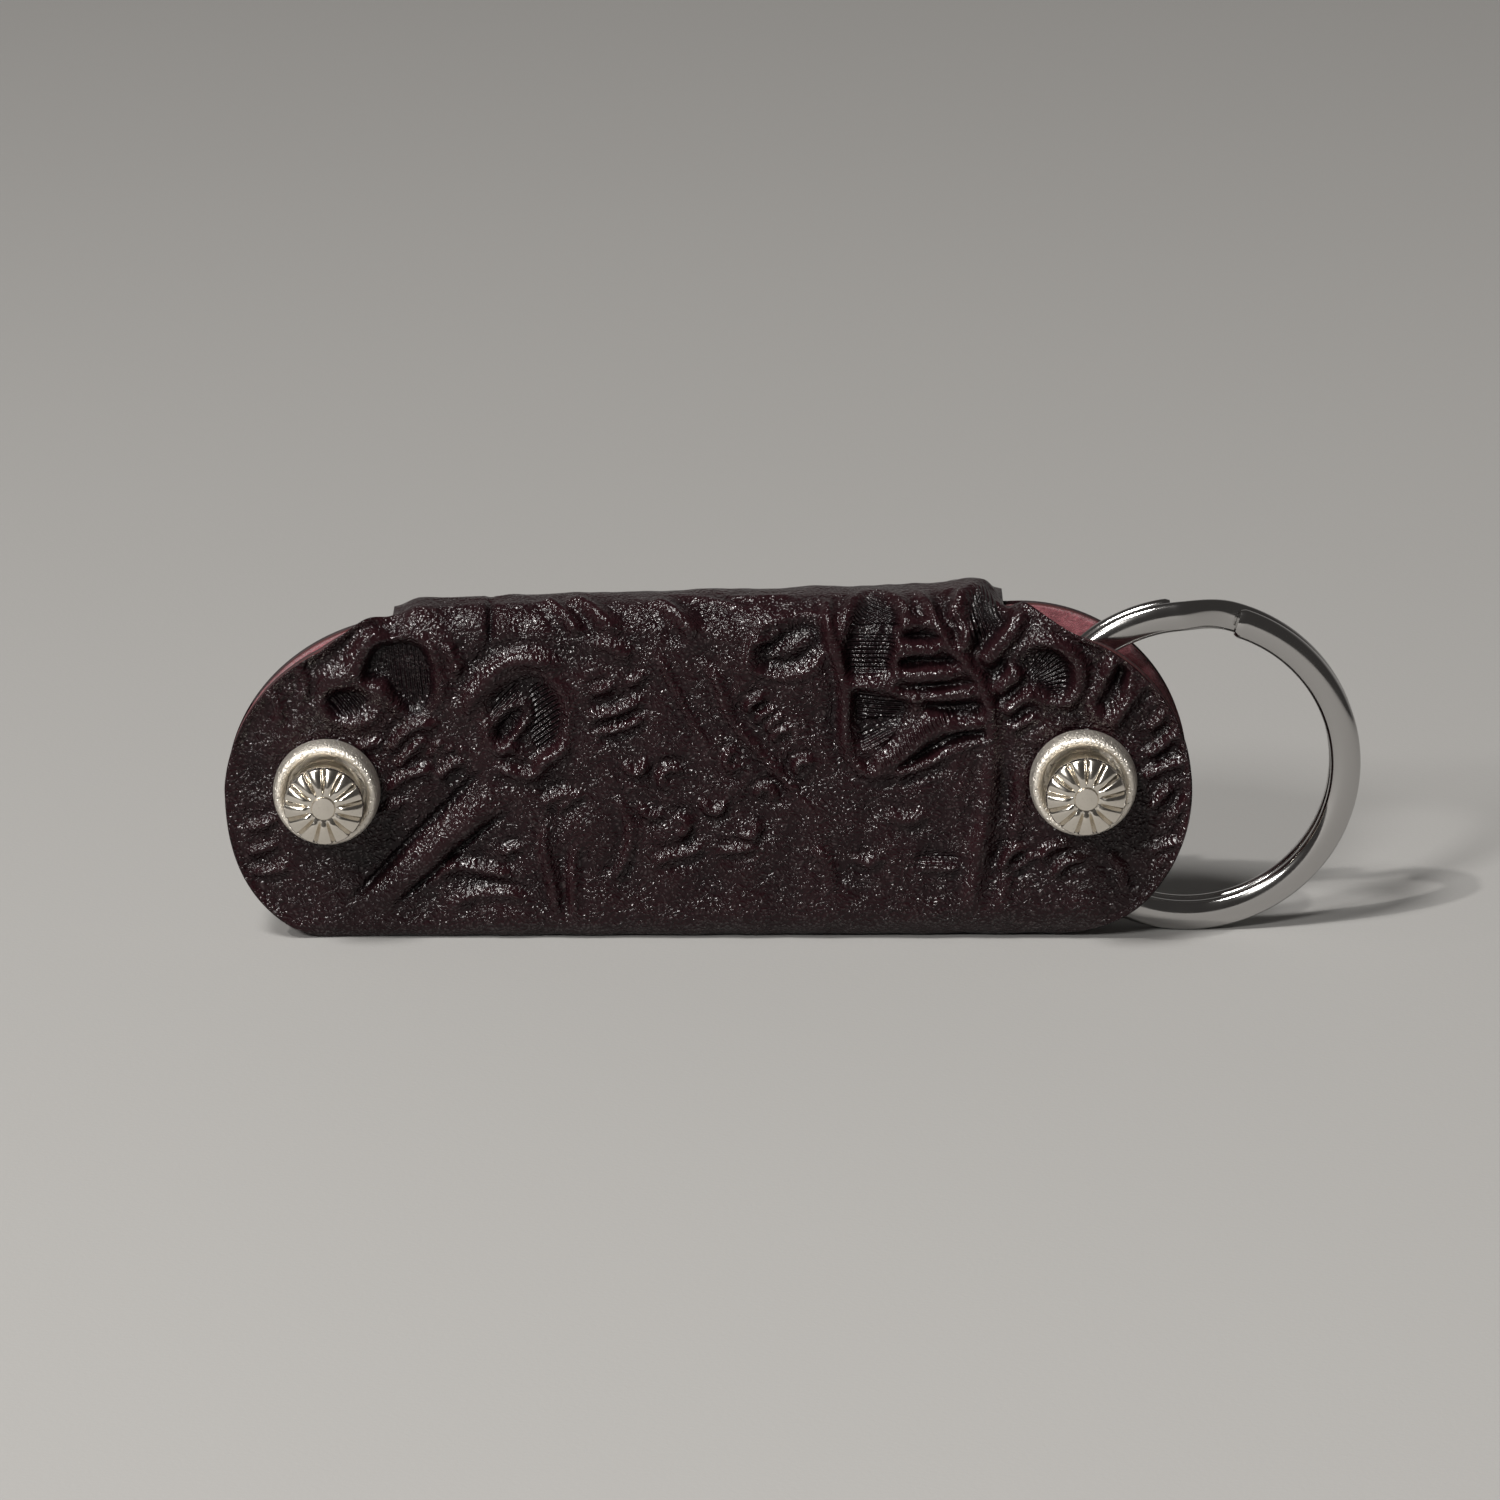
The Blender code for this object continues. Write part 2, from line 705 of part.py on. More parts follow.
def make_snap_cap(flap):
    """The domed cap on the flap's grain side, with the shank that holds the socket."""
    floor = snap_socket_back() - SNAP_WALL / 2
    outer = snap_socket_back() + SEAT_GAP + LEATHER + SEAT_GAP
    dome = [
        (SNAP_CAP_RADIUS * across, outer + SNAP_CAP_DOME * up) for across, up in SNAP_DOME_SHARES
    ]
    profile = [
        (0.0, floor),
        (SNAP_SHANK_RADIUS, floor),
        (SNAP_SHANK_RADIUS, outer),
        (SNAP_CAP_RADIUS - SNAP_CAP_EDGE, outer),
        (SNAP_CAP_RADIUS, outer + SNAP_CAP_EDGE),
        (SNAP_CAP_RADIUS - SNAP_CAP_EDGE / 2, outer + 2 * SNAP_CAP_EDGE),
        *dome,
        (0.0, outer + SNAP_CAP_DOME),
    ]
    return snap_piece("snap_cap", profile, flap)


def ring_centre():
    """The ring stands on the table with its inner edge beside the right post."""
    rise = RING_RADIUS + RING_TABLE_GAP - RIGHT_POST_HEIGHT
    reach = RING_RADIUS - RING_BAND - POST_RADIUS - SEAT_GAP
    return Vector((RIGHT_POST_X + math.sqrt(reach**2 - rise**2), RING_SHIFT, RIGHT_POST_HEIGHT + rise))


def ring_path():
    """(angle, y) along the wire: the front coil, the ramp, then the rear coil, clockwise."""
    start = RAMP_END - RAMP_END_GAP
    stop = RAMP_START + RAMP_END_GAP - 4 * math.pi
    steps = round(RING_STEPS_PER_TURN * (start - stop) / (2 * math.pi))
    layer = (RING_WIRE + RING_COIL_GAP) / 2
    path = []
    for step in range(steps + 1):
        angle = mix(start, stop, step / steps)
        along = (RAMP_START - 2 * math.pi - angle) / (RAMP_START - RAMP_END)
        path.append((angle, mix(-layer, layer, ease(along))))
    return path


def ring_section():
    """(outwards, y) points of the wire's rounded flat section."""
    power = 2 / RING_SECTION_POWER
    points = []
    for step in range(RING_SECTION_STEPS):
        angle = 2 * math.pi * (step + 0.5) / RING_SECTION_STEPS
        across, along = math.cos(angle), math.sin(angle)
        wide = math.copysign(abs(across) ** power, across) * RING_BAND / 2
        thick = math.copysign(abs(along) ** power, along) * RING_WIRE / 2
        points.append((wide, thick))
    return points


def ring_gap(path):
    """The least gap between the two coils, measured on the path's points."""
    turn = round(RING_STEPS_PER_TURN / 2)
    least = RING_RADIUS
    middle = RING_RADIUS - RING_BAND / 2
    for first, (angle, y) in enumerate(path):
        for other_angle, other_y in path[first + turn :]:
            apart = abs(math.remainder(angle - other_angle, 2 * math.pi)) * middle
            if apart < RING_BAND:
                least = min(least, math.hypot(apart, other_y - y) - RING_WIRE)
    return least


def make_ring(root):
    """Split ring: nearly two turns of flat wire that change layer on a short ramp at the top."""
    centre = ring_centre()
    hinge = Vector((RIGHT_POST_X, RING_SHIFT, RIGHT_POST_HEIGHT))
    middle = RING_RADIUS - RING_BAND / 2
    path, section = ring_path(), ring_section()
    print(f"split ring: least gap between its coils {ring_gap(path) / MM:.2f} mm")
    rings = []
    for angle, y in path:
        outwards = Vector((math.cos(angle), 0.0, math.sin(angle)))
        core = centre - hinge + outwards * middle + Vector((0.0, y, 0.0))
        rings.append([core + outwards * wide + Vector((0.0, thick, 0.0)) for wide, thick in section])
    mesh = bmesh.new()
    skin(mesh, rings)
    return finish("split_ring", mesh, hinge, "chrome", root)


def main():
    clear_scene()
    root = bpy.data.objects.new("key_holder", None)
    bpy.context.scene.collection.objects.link(root)
    make_wrap(root)
    flap = make_flap(root)
    for side, (x, z) in POSTS.items():
        make_bezel(side + "_bezel", x, z, root)
        make_screw(side + "_thumb_screw", x, z, root)
        make_post(side + "_post", x, z, root)
    make_snap_post(root)
    make_snap_stud(root)
    make_snap_socket(flap)
    make_snap_cap(flap)
    make_ring(root)
    for end in crown_ends():
        print("flap hinge end, mm:", [round(value / MM, 3) for value in end])


main()
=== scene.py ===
"""Looks for the key holder: tooled leather, nickel hardware and a chrome split ring on a plain floor.

Metres, +Z up, the thumb screws face -Y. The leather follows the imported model's own surfaces.
"""

import math

import bmesh
import bpy
import numpy as np
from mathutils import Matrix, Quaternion, Vector


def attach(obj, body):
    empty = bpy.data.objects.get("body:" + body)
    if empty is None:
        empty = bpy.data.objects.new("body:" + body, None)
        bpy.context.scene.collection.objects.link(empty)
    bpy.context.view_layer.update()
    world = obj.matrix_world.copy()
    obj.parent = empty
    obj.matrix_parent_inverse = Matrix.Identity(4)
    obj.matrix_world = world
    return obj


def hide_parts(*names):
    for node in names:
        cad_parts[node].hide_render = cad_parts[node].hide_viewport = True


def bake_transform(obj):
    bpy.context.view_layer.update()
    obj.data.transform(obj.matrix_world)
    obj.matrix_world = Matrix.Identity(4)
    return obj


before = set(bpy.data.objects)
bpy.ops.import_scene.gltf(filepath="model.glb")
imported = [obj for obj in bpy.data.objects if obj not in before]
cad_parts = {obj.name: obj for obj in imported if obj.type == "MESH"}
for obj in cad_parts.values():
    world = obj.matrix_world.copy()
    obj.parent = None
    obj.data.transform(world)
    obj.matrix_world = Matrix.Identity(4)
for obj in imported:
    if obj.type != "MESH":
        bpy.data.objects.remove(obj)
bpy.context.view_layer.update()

MM = 0.001
QUARTER = math.pi / 2

# Leather strip, as in the model
LEATHER = 1.4 * MM
END_RADIUS = 16.0 * MM
END_SPACING = 57.7 * MM
END_HEIGHT = 14.8 * MM
LEFT_TOP_DROP = 0.6 * MM
UPPER_LEFT_TRIM = 0.7 * MM
WAIST = 66.0 * MM
SOLE_DEPTH = 0.35 * MM
LEFT_HALF = 2.15 * MM
RIGHT_HALF = 4.61 * MM
BEND_START = 28.2 * MM
REAR_BEND_DROP = 0.8 * MM
CROWN_RISE_SHARE = 0.2
CROWN_BACK_SHARE = 0.25
CROWN_FLAT = 0.6 * MM
FRONT_BEND_POWER = 2.2
REAR_BEND_POWER = 2.6
SHOULDER_ANGLE = math.radians(64.0)
SHOULDER_SAG = 1.8 * MM
SHOULDER_SAG_LEFT = -0.2 * MM
LOWER_LEFT_POWER = 2.5
CREST_SETTLE = 0.45 * MM
CREST_REACH = 5.0 * MM
CREST_SWELL = (24.3 * MM, 0.65 * MM, 1.8 * MM)
SHOULDER_CORNER = 0.8 * MM
SHOULDER_CORNER_LEFT = 0.3 * MM
FOLD_TUCK = 0.5 * MM
FLAP_LEFT = -29.0 * MM
FLAP_RIGHT = 27.6 * MM
LEFT_DROOP = (FLAP_LEFT, 1.1 * MM, 3.2 * MM)
RIGHT_DROOP = (FLAP_RIGHT, 1.6 * MM, 2.4 * MM)
DROOP_POWER = 1.5
FLAP_END_HEIGHT = 8.6 * MM
FLAP_CORNER = 7.0 * MM
SEAT_GAP = 0.3 * MM
POST_LEFT = -35.1 * MM
POST_RIGHT = 34.6 * MM
LEFT_POST_HEIGHT = 14.7 * MM
RIGHT_POST_HEIGHT = 15.9 * MM
POST_RADIUS = 2.75 * MM
SNAP_X = -0.7 * MM
SNAP_HEIGHT = 15.6 * MM
SNAP_STACK = 2.8 * MM
SNAP_CAP_RADIUS = 5.0 * MM

# Metal pieces
HOLE_GAP = 0.3 * MM
BEZEL_RADIUS = 4.95 * MM
BEZEL_LIP = 3.7 * MM
BEZEL_BORE = 3.05 * MM
BEZEL_HEIGHT = 2.1 * MM
BEZEL_FLOOR = 0.5 * MM
BEZEL_SKIRT = 0.3 * MM
BEZEL_RIM_POWER = 2.3
HEAD_SINK = 0.12 * MM
KNOB_RADIUS = 3.68 * MM
KNOB_NECK = 0.38 * MM
KNOB_REACH = 5.9 * MM
KNOB_DOME = 0.6 * MM
KNOB_RIM = 0.5 * MM
KNOB_CORNER = 0.22 * MM
PETALS = 13
PETAL_GROOVE = 0.3 * MM
PETAL_ARCH = 0.2 * MM
PETAL_SCALLOP = 0.09 * MM
BOSS_RADIUS = 1.07 * MM
BOSS_HEIGHT = 0.18 * MM
BOSS_SAG, BOSS_EDGE = 0.35, 0.95
GROOVE_START, GROOVE_END = 0.6, 1.25
SCREW_RADIUS = 1.5 * MM
SCREW_LENGTH = 3.8 * MM
THREAD_PITCH = 0.6 * MM
THREAD_DEPTH = 0.08 * MM
POST_HEAD_RADIUS = 4.5 * MM
POST_HEAD_THICKNESS = 1.2 * MM
POST_HEAD_FALL = 0.75 * MM
POST_HEAD_POWERS = (0.35, 0.9)
POST_BORE_REST = 0.6 * MM
SLOT_WIDTH = 1.1 * MM
SLOT_DEPTH = 0.5 * MM
SNAP_WALL = 0.5 * MM
SNAP_THIN_WALL = 0.25 * MM
SNAP_KNOB_HEIGHT = 1.2 * MM
SNAP_SOCKET_DEPTH = 1.4 * MM
RING_RADIUS = 15.875 * MM
RING_BAND = 2.8 * MM
RING_WIRE = 1.56 * MM
RING_COIL_SLIT = 0.06 * MM
RING_SHIFT = 0.2 * MM
RING_TABLE_GAP = 0.05 * MM
RING_END_ROUND = 0.5 * MM
RING_END_AREA = 0.75
RAMP_START = math.radians(95.0)
RAMP_END = math.radians(75.0)
RAMP_END_GAP = math.radians(2.0)
RING_STEPS = 240
SHARP_EDGE = math.radians(40.0)
AXIS_RADIUS = 0.02 * MM
CORNER_SIDE = 2.2

# How the dressed leather is divided and finished
FRONT_COLUMNS = 405
FOLD_ROWS = 14
PANEL_ROWS = 143
SHOULDER_ROWS = 34
BEND_ROWS = 18
BEND_BEHIND = 3.0 * MM
FLAP_ROWS = 44
CORNER_ROWS = 20
BACK_COLUMNS = 241
BACK_ROWS = 90
FLESH_EVERY = 4
EDGE_ROUND = 0.22 * MM
EDGE_STEPS = 4
EDGE_WOBBLE = 0.02 * MM
EDGE_SEED = 5
STATIONS = 40
SOLE_POINTS, FOLD_POINTS, BEND_POINTS, FLAP_POINTS = 12, 60, 120, 200
PROFILE_STEP = 0.05 * MM
RELIEF_BORDER = 0.9 * MM

# Tooling, in millimetres of x and pattern height
CANVAS_X = (-47.0, 47.0)
CANVAS_LOW = -3.0
FRONT_HIGH, FRONT_STEP = 66.0, 0.1
BACK_HIGH, BACK_STEP = 32.0, 0.2
BACK_PATTERN = 120.0
RELIEF_GAIN = 1.35
RELIEF_LOW, RELIEF_HIGH = -0.58, 0.5
RELIEF_BLUR = 0.11
CREST_PATTERN = 36.0
CREST_CALM, SOLE_CALM, CALM_SHARE = 2.2, 2.6, 0.75
SWELLING = 0.25
PUCKER = 0.012
WAVES, WAVE_LENGTHS, WAVE_SEED = 34, (2.0, 8.0), 11
BEND_FROM, BEND_GAIN = 30.0, 0.17
BEAD_PITCH, BEAD_RADIUS = 0.5, 0.17

# How the single tools mark the leather: shares of their depth or width, and reaches in millimetres
KNIFE_LIP, KNIFE_LIP_WIDTH, KNIFE_TAPER = 0.35, 0.6, 8
RIDGE_FLARE, RIDGE_SHARE, RIDGE_TAPER = 1.2, 0.95, 5
RIDGE_MOAT, RIDGE_MOAT_PLACE = 0.4, 1.9
BOWL_RIM, BOWL_RISE = 0.5, 0.25
FLOWER_STEP, FLOWER_REACH, FLOWER_RISE, FLOWER_RULING = 0.35, 4.5, 0.2, (0.6, 0.7)
GROUND_SHARE, GROUND_REACH = 0.55, 0.6
RULED_BORDER, RULED_FADE, RULED_FAN = 0.8, 0.6, 0.7
HATCH_SINK, HATCH_FADE = 0.1, 0.4

# Grain of the leather, drawn by its material
GRAIN_DEPTH = 0.28 * MM
LINE_DEPTH = 0.1 * MM
PEBBLE_SCALE, PEBBLE_SHARE = 3.3, 0.5
CREASE_SCALE, CREASE_SHARE = 1.6, 0.9

# Colours: leather in its hollows, its dye from dark to light, the pebbles' middles, then edge and flesh
HOLLOW_DYE = (0.004, 0.0018, 0.0024, 1)
DARK_DYE, LIGHT_DYE = (0.007, 0.0024, 0.0032, 1), (0.016, 0.0048, 0.0062, 1)
PEBBLE_DYE = (0.036, 0.01, 0.012, 1)
EDGE_DARK, EDGE_LIGHT, EDGE_RIM = (0.045, 0.012, 0.012, 1), (0.13, 0.035, 0.034, 1), (0.014, 0.007, 0.008, 1)
FLESH_DARK, FLESH_LIGHT, FLESH_FIBRE = (0.15, 0.032, 0.042, 1), (0.36, 0.11, 0.13, 1), (0.45, 0.2, 0.21, 1)
SATIN_NICKEL = (0.84, 0.79, 0.71, 1)
BRIGHT_NICKEL = (0.78, 0.73, 0.65, 1)
SNAP_NICKEL = (0.7, 0.67, 0.61, 1)
CHROME = (0.5, 0.49, 0.48, 1)
FLOOR_DARK, FLOOR_LIGHT = (0.304, 0.298, 0.29, 1), (0.32, 0.314, 0.305, 1)

# Studio
FLOOR_SIZE = 6.0
ROOM_STRENGTH = 1.0
ROOM_DARK = (0.055, 0.052, 0.05, 1)
PAPER = (0.35, 0.341, 0.328, 1)
PAPER_BEHIND = (-0.15, 0.45)
PAPER_BELOW = (0.3, 0.75)
KEY_STRENGTH = 1.1
KEY_TRAVEL = (0.635, 0.52, -1.0)
KEY_ANGLE = math.radians(1.8)
KEY_COLOUR = (1.0, 0.975, 0.94)
LAMP_COLOUR = (1.0, 0.985, 0.96)
LAMP_AIM = (0.0, 0.0, 0.02)
SOFTBOX_PLACE, SOFTBOX_SIZE, SOFTBOX_POWER = (-0.32, -0.4, 0.9), 0.22, 8.5
FRONT_PLACE, FRONT_SIZE, FRONT_POWER = (-0.45, -0.75, 0.55), 0.16, 7.0
CAMERA_LENS, CAMERA_SENSOR = 150.0, 36.0
CAMERA_TARGET = (3.98 * MM, 0.0, 17.6 * MM)
CAMERA_DISTANCE = 578.7 * MM
CAMERA_ELEVATION = math.radians(17.0)
CAMERA_ROLL = math.radians(-0.36)


def mix(low, high, share):
    return low + (high - low) * share


def ease(share):
    share = np.clip(share, 0.0, 1.0)
    return share * share * (3 - 2 * share)


def in_scene(name, data):
    """A new object of this data in the scene."""
    made = bpy.data.objects.new(name, data)
    bpy.context.scene.collection.objects.link(made)
    return made


def mesh_data(name, mesh):
    data = bpy.data.meshes.new(name)
    mesh.to_mesh(data)
    mesh.free()
    return data


# Surface of the leather strip


def half_thickness(x):
    return mix(LEFT_HALF, RIGHT_HALF, (x - POST_LEFT) / (POST_RIGHT - POST_LEFT))


def tangent_height(x):
    return half_thickness(x) - SOLE_DEPTH


def back_top(x):
    return END_HEIGHT + END_RADIUS - mix(LEFT_TOP_DROP, 0.0, x / END_SPACING + 0.5)


def crown(x):
    half = half_thickness(x)
    return CROWN_BACK_SHARE * half, back_top(x) + SEAT_GAP + LEATHER + CROWN_RISE_SHARE * half


def fold_profile(x, side):
    """(pattern height, y, z) from the middle of the sole up to the panel's tangent line."""
    radius, centre = half_thickness(x), tangent_height(x)
    start = math.acos(centre / radius)
    angles = np.linspace(start, QUARTER, FOLD_POINTS)
    y = radius * np.sin(angles)
    z = np.maximum(centre - radius * np.cos(angles), 0.0)
    pattern = centre - radius * (QUARTER - angles)
    inner = np.linspace(0.0, y[0], SOLE_POINTS)[:-1]
    sole = pattern[0] - (y[0] - inner)
    y = np.concatenate([inner, y])
    z = np.concatenate([np.zeros(len(inner)), z])
    return np.concatenate([sole, pattern]), side * y, z


def bend_profile(x):
    """(y, z) along the whole top bend and the flap, from the end of the flat front panel."""
    crown_y, crown_z = crown(x)
    angles = np.linspace(0.0, QUARTER, BEND_POINTS)
    front_power, rear_power = 2 / FRONT_BEND_POWER, 2 / REAR_BEND_POWER
    top = crown_y - CROWN_FLAT
    front_y = top - (top + half_thickness(x)) * np.cos(angles).clip(0.0) ** front_power
    front_z = BEND_START + (crown_z - BEND_START) * np.sin(angles) ** front_power
    rear = half_thickness(x) + SEAT_GAP + LEATHER
    foot = back_top(x) - REAR_BEND_DROP
    top = crown_y + CROWN_FLAT
    rear_y = top + (rear - top) * np.sin(angles) ** rear_power
    rear_z = foot + (crown_z - foot) * np.cos(angles).clip(0.0) ** rear_power
    down_z = np.linspace(foot, FLAP_END_HEIGHT, FLAP_POINTS)[1:]
    lean = (SNAP_STACK - SEAT_GAP) * ease((foot - down_z) / (foot - SNAP_HEIGHT - SNAP_CAP_RADIUS))
    y = np.concatenate([front_y, rear_y, rear + lean])
    z = np.concatenate([front_z, rear_z, down_z])
    return y, z


def strip_profile(x, side):
    """(pattern height, y, z) of the grain side at this x, from the sole's middle to the strip's end."""
    pattern, y, z = fold_profile(x, side)
    if side > 0:
        top = END_HEIGHT + END_RADIUS + EDGE_ROUND
        return np.append(pattern, top), np.append(y, half_thickness(x)), np.append(z, top)
    bend_y, bend_z = bend_profile(x)
    y, z = np.concatenate([y, bend_y]), np.concatenate([z, bend_z])
    steps = np.hypot(np.diff(y[len(pattern) - 1 :]), np.diff(z[len(pattern) - 1 :]))
    return np.concatenate([pattern, pattern[-1] + np.cumsum(steps)]), y, z


class Strip:
    """Looks up points of the strip's grain side from x and pattern height."""

    def __init__(self, side):
        self.x = np.linspace(-END_SPACING, END_SPACING, STATIONS)
        profiles = [strip_profile(x, side) for x in self.x]
        self.low = min(p[0] for p, _, _ in profiles)
        self.high = max(p[-1] for p, _, _ in profiles)
        count = int((self.high - self.low) / PROFILE_STEP)
        self.pattern = np.linspace(self.low, self.high, count)
        self.y = np.array([np.interp(self.pattern, p, y) for p, y, _ in profiles])
        self.z = np.array([np.interp(self.pattern, p, z) for p, _, z in profiles])
        self.ends = np.array([p[-1] for p, _, _ in profiles])
        self.starts = np.array([p[0] for p, _, _ in profiles])
        self.crowns = np.array([p[np.argmax(z)] for p, _, z in profiles]) + CROWN_FLAT

    def end(self, x):
        return np.interp(x, self.x, self.ends)

    def start(self, x):
        return np.interp(x, self.x, self.starts)

    def crown(self, x):
        """Pattern height of the crown, the highest line of the top bend."""
        return np.interp(x, self.x, self.crowns)

    def point(self, x, pattern):
        column = np.clip((x - self.x[0]) / (self.x[1] - self.x[0]), 0, STATIONS - 1.001)
        row = (pattern - self.low) / (self.pattern[1] - self.pattern[0])
        row = np.clip(row, 0, len(self.pattern) - 1.001)
        i, j = column.astype(int), row.astype(int)
        u, v = column - i, row - j
        weights = ((1 - u) * (1 - v), u * (1 - v), (1 - u) * v, u * v)
        places = ((i, j), (i + 1, j), (i, j + 1), (i + 1, j + 1))
        y = sum(w * self.y[at] for w, at in zip(weights, places))
        z = sum(w * self.z[at] for w, at in zip(weights, places))
        return np.stack([x, y, z], axis=-1)


# Tooling of the grain side: floral carving pressed into the leather, drawn in millimetres


class Canvas:
    """Relief in millimetres over x and pattern height, also in millimetres."""

    def __init__(self, x_range, p_range, step):
        self.step, self.x0, self.p0 = step, x_range[0], p_range[0]
        self.xs = np.arange(x_range[0], x_range[1], step)
        self.ps = np.arange(p_range[0], p_range[1], step)
        self.relief = np.zeros((len(self.ps), len(self.xs)))
        self.phase = np.zeros_like(self.relief)
        self.ruled = np.zeros_like(self.relief)

    def rule(self, at, phase, depth, within, apart):
        """Marks a place for fine lines, which the material draws from these layers."""
        near = within | (apart < RULED_BORDER)
        ruled = depth * within * ease(apart / RULED_FADE)
        self.phase[at] = np.where(near, phase, self.phase[at])
        self.ruled[at] = np.where(near, ruled, self.ruled[at])

    def window(self, points, margin):
        low, high = points.min(0) - margin, points.max(0) + margin
        i = slice(*np.searchsorted(self.ps, (low[1], high[1])))
        j = slice(*np.searchsorted(self.xs, (low[0], high[0])))
        x, p = np.meshgrid(self.xs[j], self.ps[i])
        return (i, j), x, p

    def soften(self, width):
        reach = int(3 * width / self.step) + 1
        kernel = np.exp(-((np.arange(-reach, reach + 1) * self.step / width) ** 2))
        kernel /= kernel.sum()
        for axis in (0, 1):
            self.relief = np.apply_along_axis(np.convolve, axis, self.relief, kernel, "same")

    def at(self, x, pattern, layer=None):
        """Relief in metres, or another layer's own value, at these places, in metres."""
        column = np.clip((x / MM - self.x0) / self.step, 0, len(self.xs) - 1.001)
        row = np.clip((pattern / MM - self.p0) / self.step, 0, len(self.ps) - 1.001)
        i, j = row.astype(int), column.astype(int)
        u, v = row - i, column - j
        r = self.relief if layer is None else layer
        low = (1 - v) * r[i, j] + v * r[i, j + 1]
        high = (1 - v) * r[i + 1, j] + v * r[i + 1, j + 1]
        return ((1 - u) * low + u * high) * (MM if layer is None else 1.0)


def flowing(points, closed=False, per=7):
    """A smooth curve through the points, with this many steps between two of them."""
    points = np.array(points, float)
    if closed:
        around = np.concatenate([points[-1:], points, points[:2]])
    else:
        first, last = 2 * points[0] - points[1], 2 * points[-1] - points[-2]
        around = np.concatenate([[first], points, [last]])
    a, b, c, d = (around[k : len(around) - 3 + k, None, :] for k in range(4))
    t = np.linspace(0, 1, per, endpoint=False)[None, :, None]
    curve = 0.5 * (
        2 * b + (c - a) * t + (2 * a - 5 * b + 4 * c - d) * t**2 + (3 * b - a - 3 * c + d) * t**3
    )
    curve = curve.reshape(-1, 2)
    return curve if closed else np.concatenate([curve, points[-1:]])


def nearest(curve, x, p):
    """(distance, signed side, share along) from each place to the open curve."""
    best = np.full(x.shape, np.inf)
    side, along = np.zeros(x.shape), np.zeros(x.shape)
    lengths = np.hypot(*np.diff(curve, axis=0).T)
    total, run = lengths.sum(), 0.0
    for (ax, ap), (bx, bp), length in zip(curve, curve[1:], lengths):
        if length == 0:
            continue
        t = np.clip(((x - ax) * (bx - ax) + (p - ap) * (bp - ap)) / length**2, 0, 1)
        apart = np.hypot(x - mix(ax, bx, t), p - mix(ap, bp, t))
        closer = apart < best
        best = np.where(closer, apart, best)
        cross = (bx - ax) * (p - ap) - (bp - ap) * (x - ax)
        side = np.where(closer, np.sign(cross), side)
        along = np.where(closer, (run + t * length) / total, along)
        run += length
    return best, side, along


def inside(curve, x, p):
    found = np.zeros(x.shape, bool)
    for (ax, ap), (bx, bp) in zip(curve, np.roll(curve, -1, axis=0)):
        if ap != bp:
            crosses = (ap > p) != (bp > p)
            found ^= crosses & (x < (bx - ax) * (p - ap) / (bp - ap) + ax)
    return found


def stroke(canvas, points, margin):
    """(curve, window, distance, side, share along) of a smooth open line."""
    curve = flowing(points)
    at, x, p = canvas.window(curve, margin)
    return curve, at, *nearest(curve, x, p)


def outline(canvas, points, margin):
    """(curve, window, x, p, distance to the rim, whether inside) of a smooth closed line."""
    curve = flowing(points, closed=True)
    at, x, p = canvas.window(curve, margin)
    apart = nearest(np.concatenate([curve, curve[:1]]), x, p)[0]
    return curve, at, x, p, apart, inside(curve, x, p)


def tapered(along, taper):
    """A line's strength along its run, running out at both ends."""
    return ease(taper * along) * ease(taper * (1 - along))


def bell(apart, width):
    return np.exp(-((apart / width) ** 2))


def bevel(canvas, points, depth, reach, side):
    """A knife cut with the leather pressed down on one side (1 is left of its run)."""
    _, at, apart, where, along = stroke(canvas, points, 4 * reach)
    fade = tapered(along, KNIFE_TAPER)
    pressed = -depth * np.exp(-apart / reach) * fade
    raised = KNIFE_LIP * depth * bell(apart, KNIFE_LIP_WIDTH * reach) * fade
    canvas.relief[at] += np.where(where * side > 0, pressed, raised)


def groove(canvas, points, depth, width, taper):
    _, at, apart, _, along = stroke(canvas, points, 4 * width)
    canvas.relief[at] -= depth * bell(apart, width) * tapered(along, taper)


def ridge(canvas, points, height, width):
    """A rounded fold standing up from the ground, with the ground pressed down beside it."""
    _, at, apart, _, along = stroke(canvas, points, 4 * width)
    width = RIDGE_FLARE * width
    swell = bell(apart, width) - RIDGE_MOAT * bell(apart - RIDGE_MOAT_PLACE * width, width)
    canvas.relief[at] += RIDGE_SHARE * height * swell * tapered(along, RIDGE_TAPER)


def beads(canvas, points, height, rows):
    """One or two rows of beads along a line."""
    curve, at, apart, _, along = stroke(canvas, points, 2)
    length = np.hypot(*np.diff(curve, axis=0).T).sum()
    phase = (along * length / BEAD_PITCH) % 1 - 0.5
    offset = apart if rows == 1 else np.abs(apart - BEAD_PITCH / 2)
    dots = np.exp(-((phase * BEAD_PITCH / BEAD_RADIUS) ** 2) - (offset / BEAD_RADIUS) ** 2)
    canvas.relief[at] += height * dots


def petal(canvas, points, root, depth, rim):
    """A petal: raised rim, ground pressed down round it, and a hollow that climbs towards its root."""
    curve, at, x, p, apart, within = outline(canvas, points, 3.5)
    away = np.hypot(x - root[0], p - root[1])
    far = ease(away / max(np.hypot(*(curve - root).T).max(), 0.1) * 1.25)
    sunk = -depth * far * (1 - np.exp(-apart / FLOWER_STEP)) * np.exp(-apart / FLOWER_REACH)
    outer = FLOWER_RISE * bell(apart - rim / 2, rim)
    beyond = np.exp(-np.maximum(apart - rim, 0) / GROUND_REACH) * (apart > rim)
    canvas.relief[at] += np.where(within, sunk, outer + -GROUND_SHARE * depth * beyond)
    fan(canvas, points, root, *FLOWER_RULING)


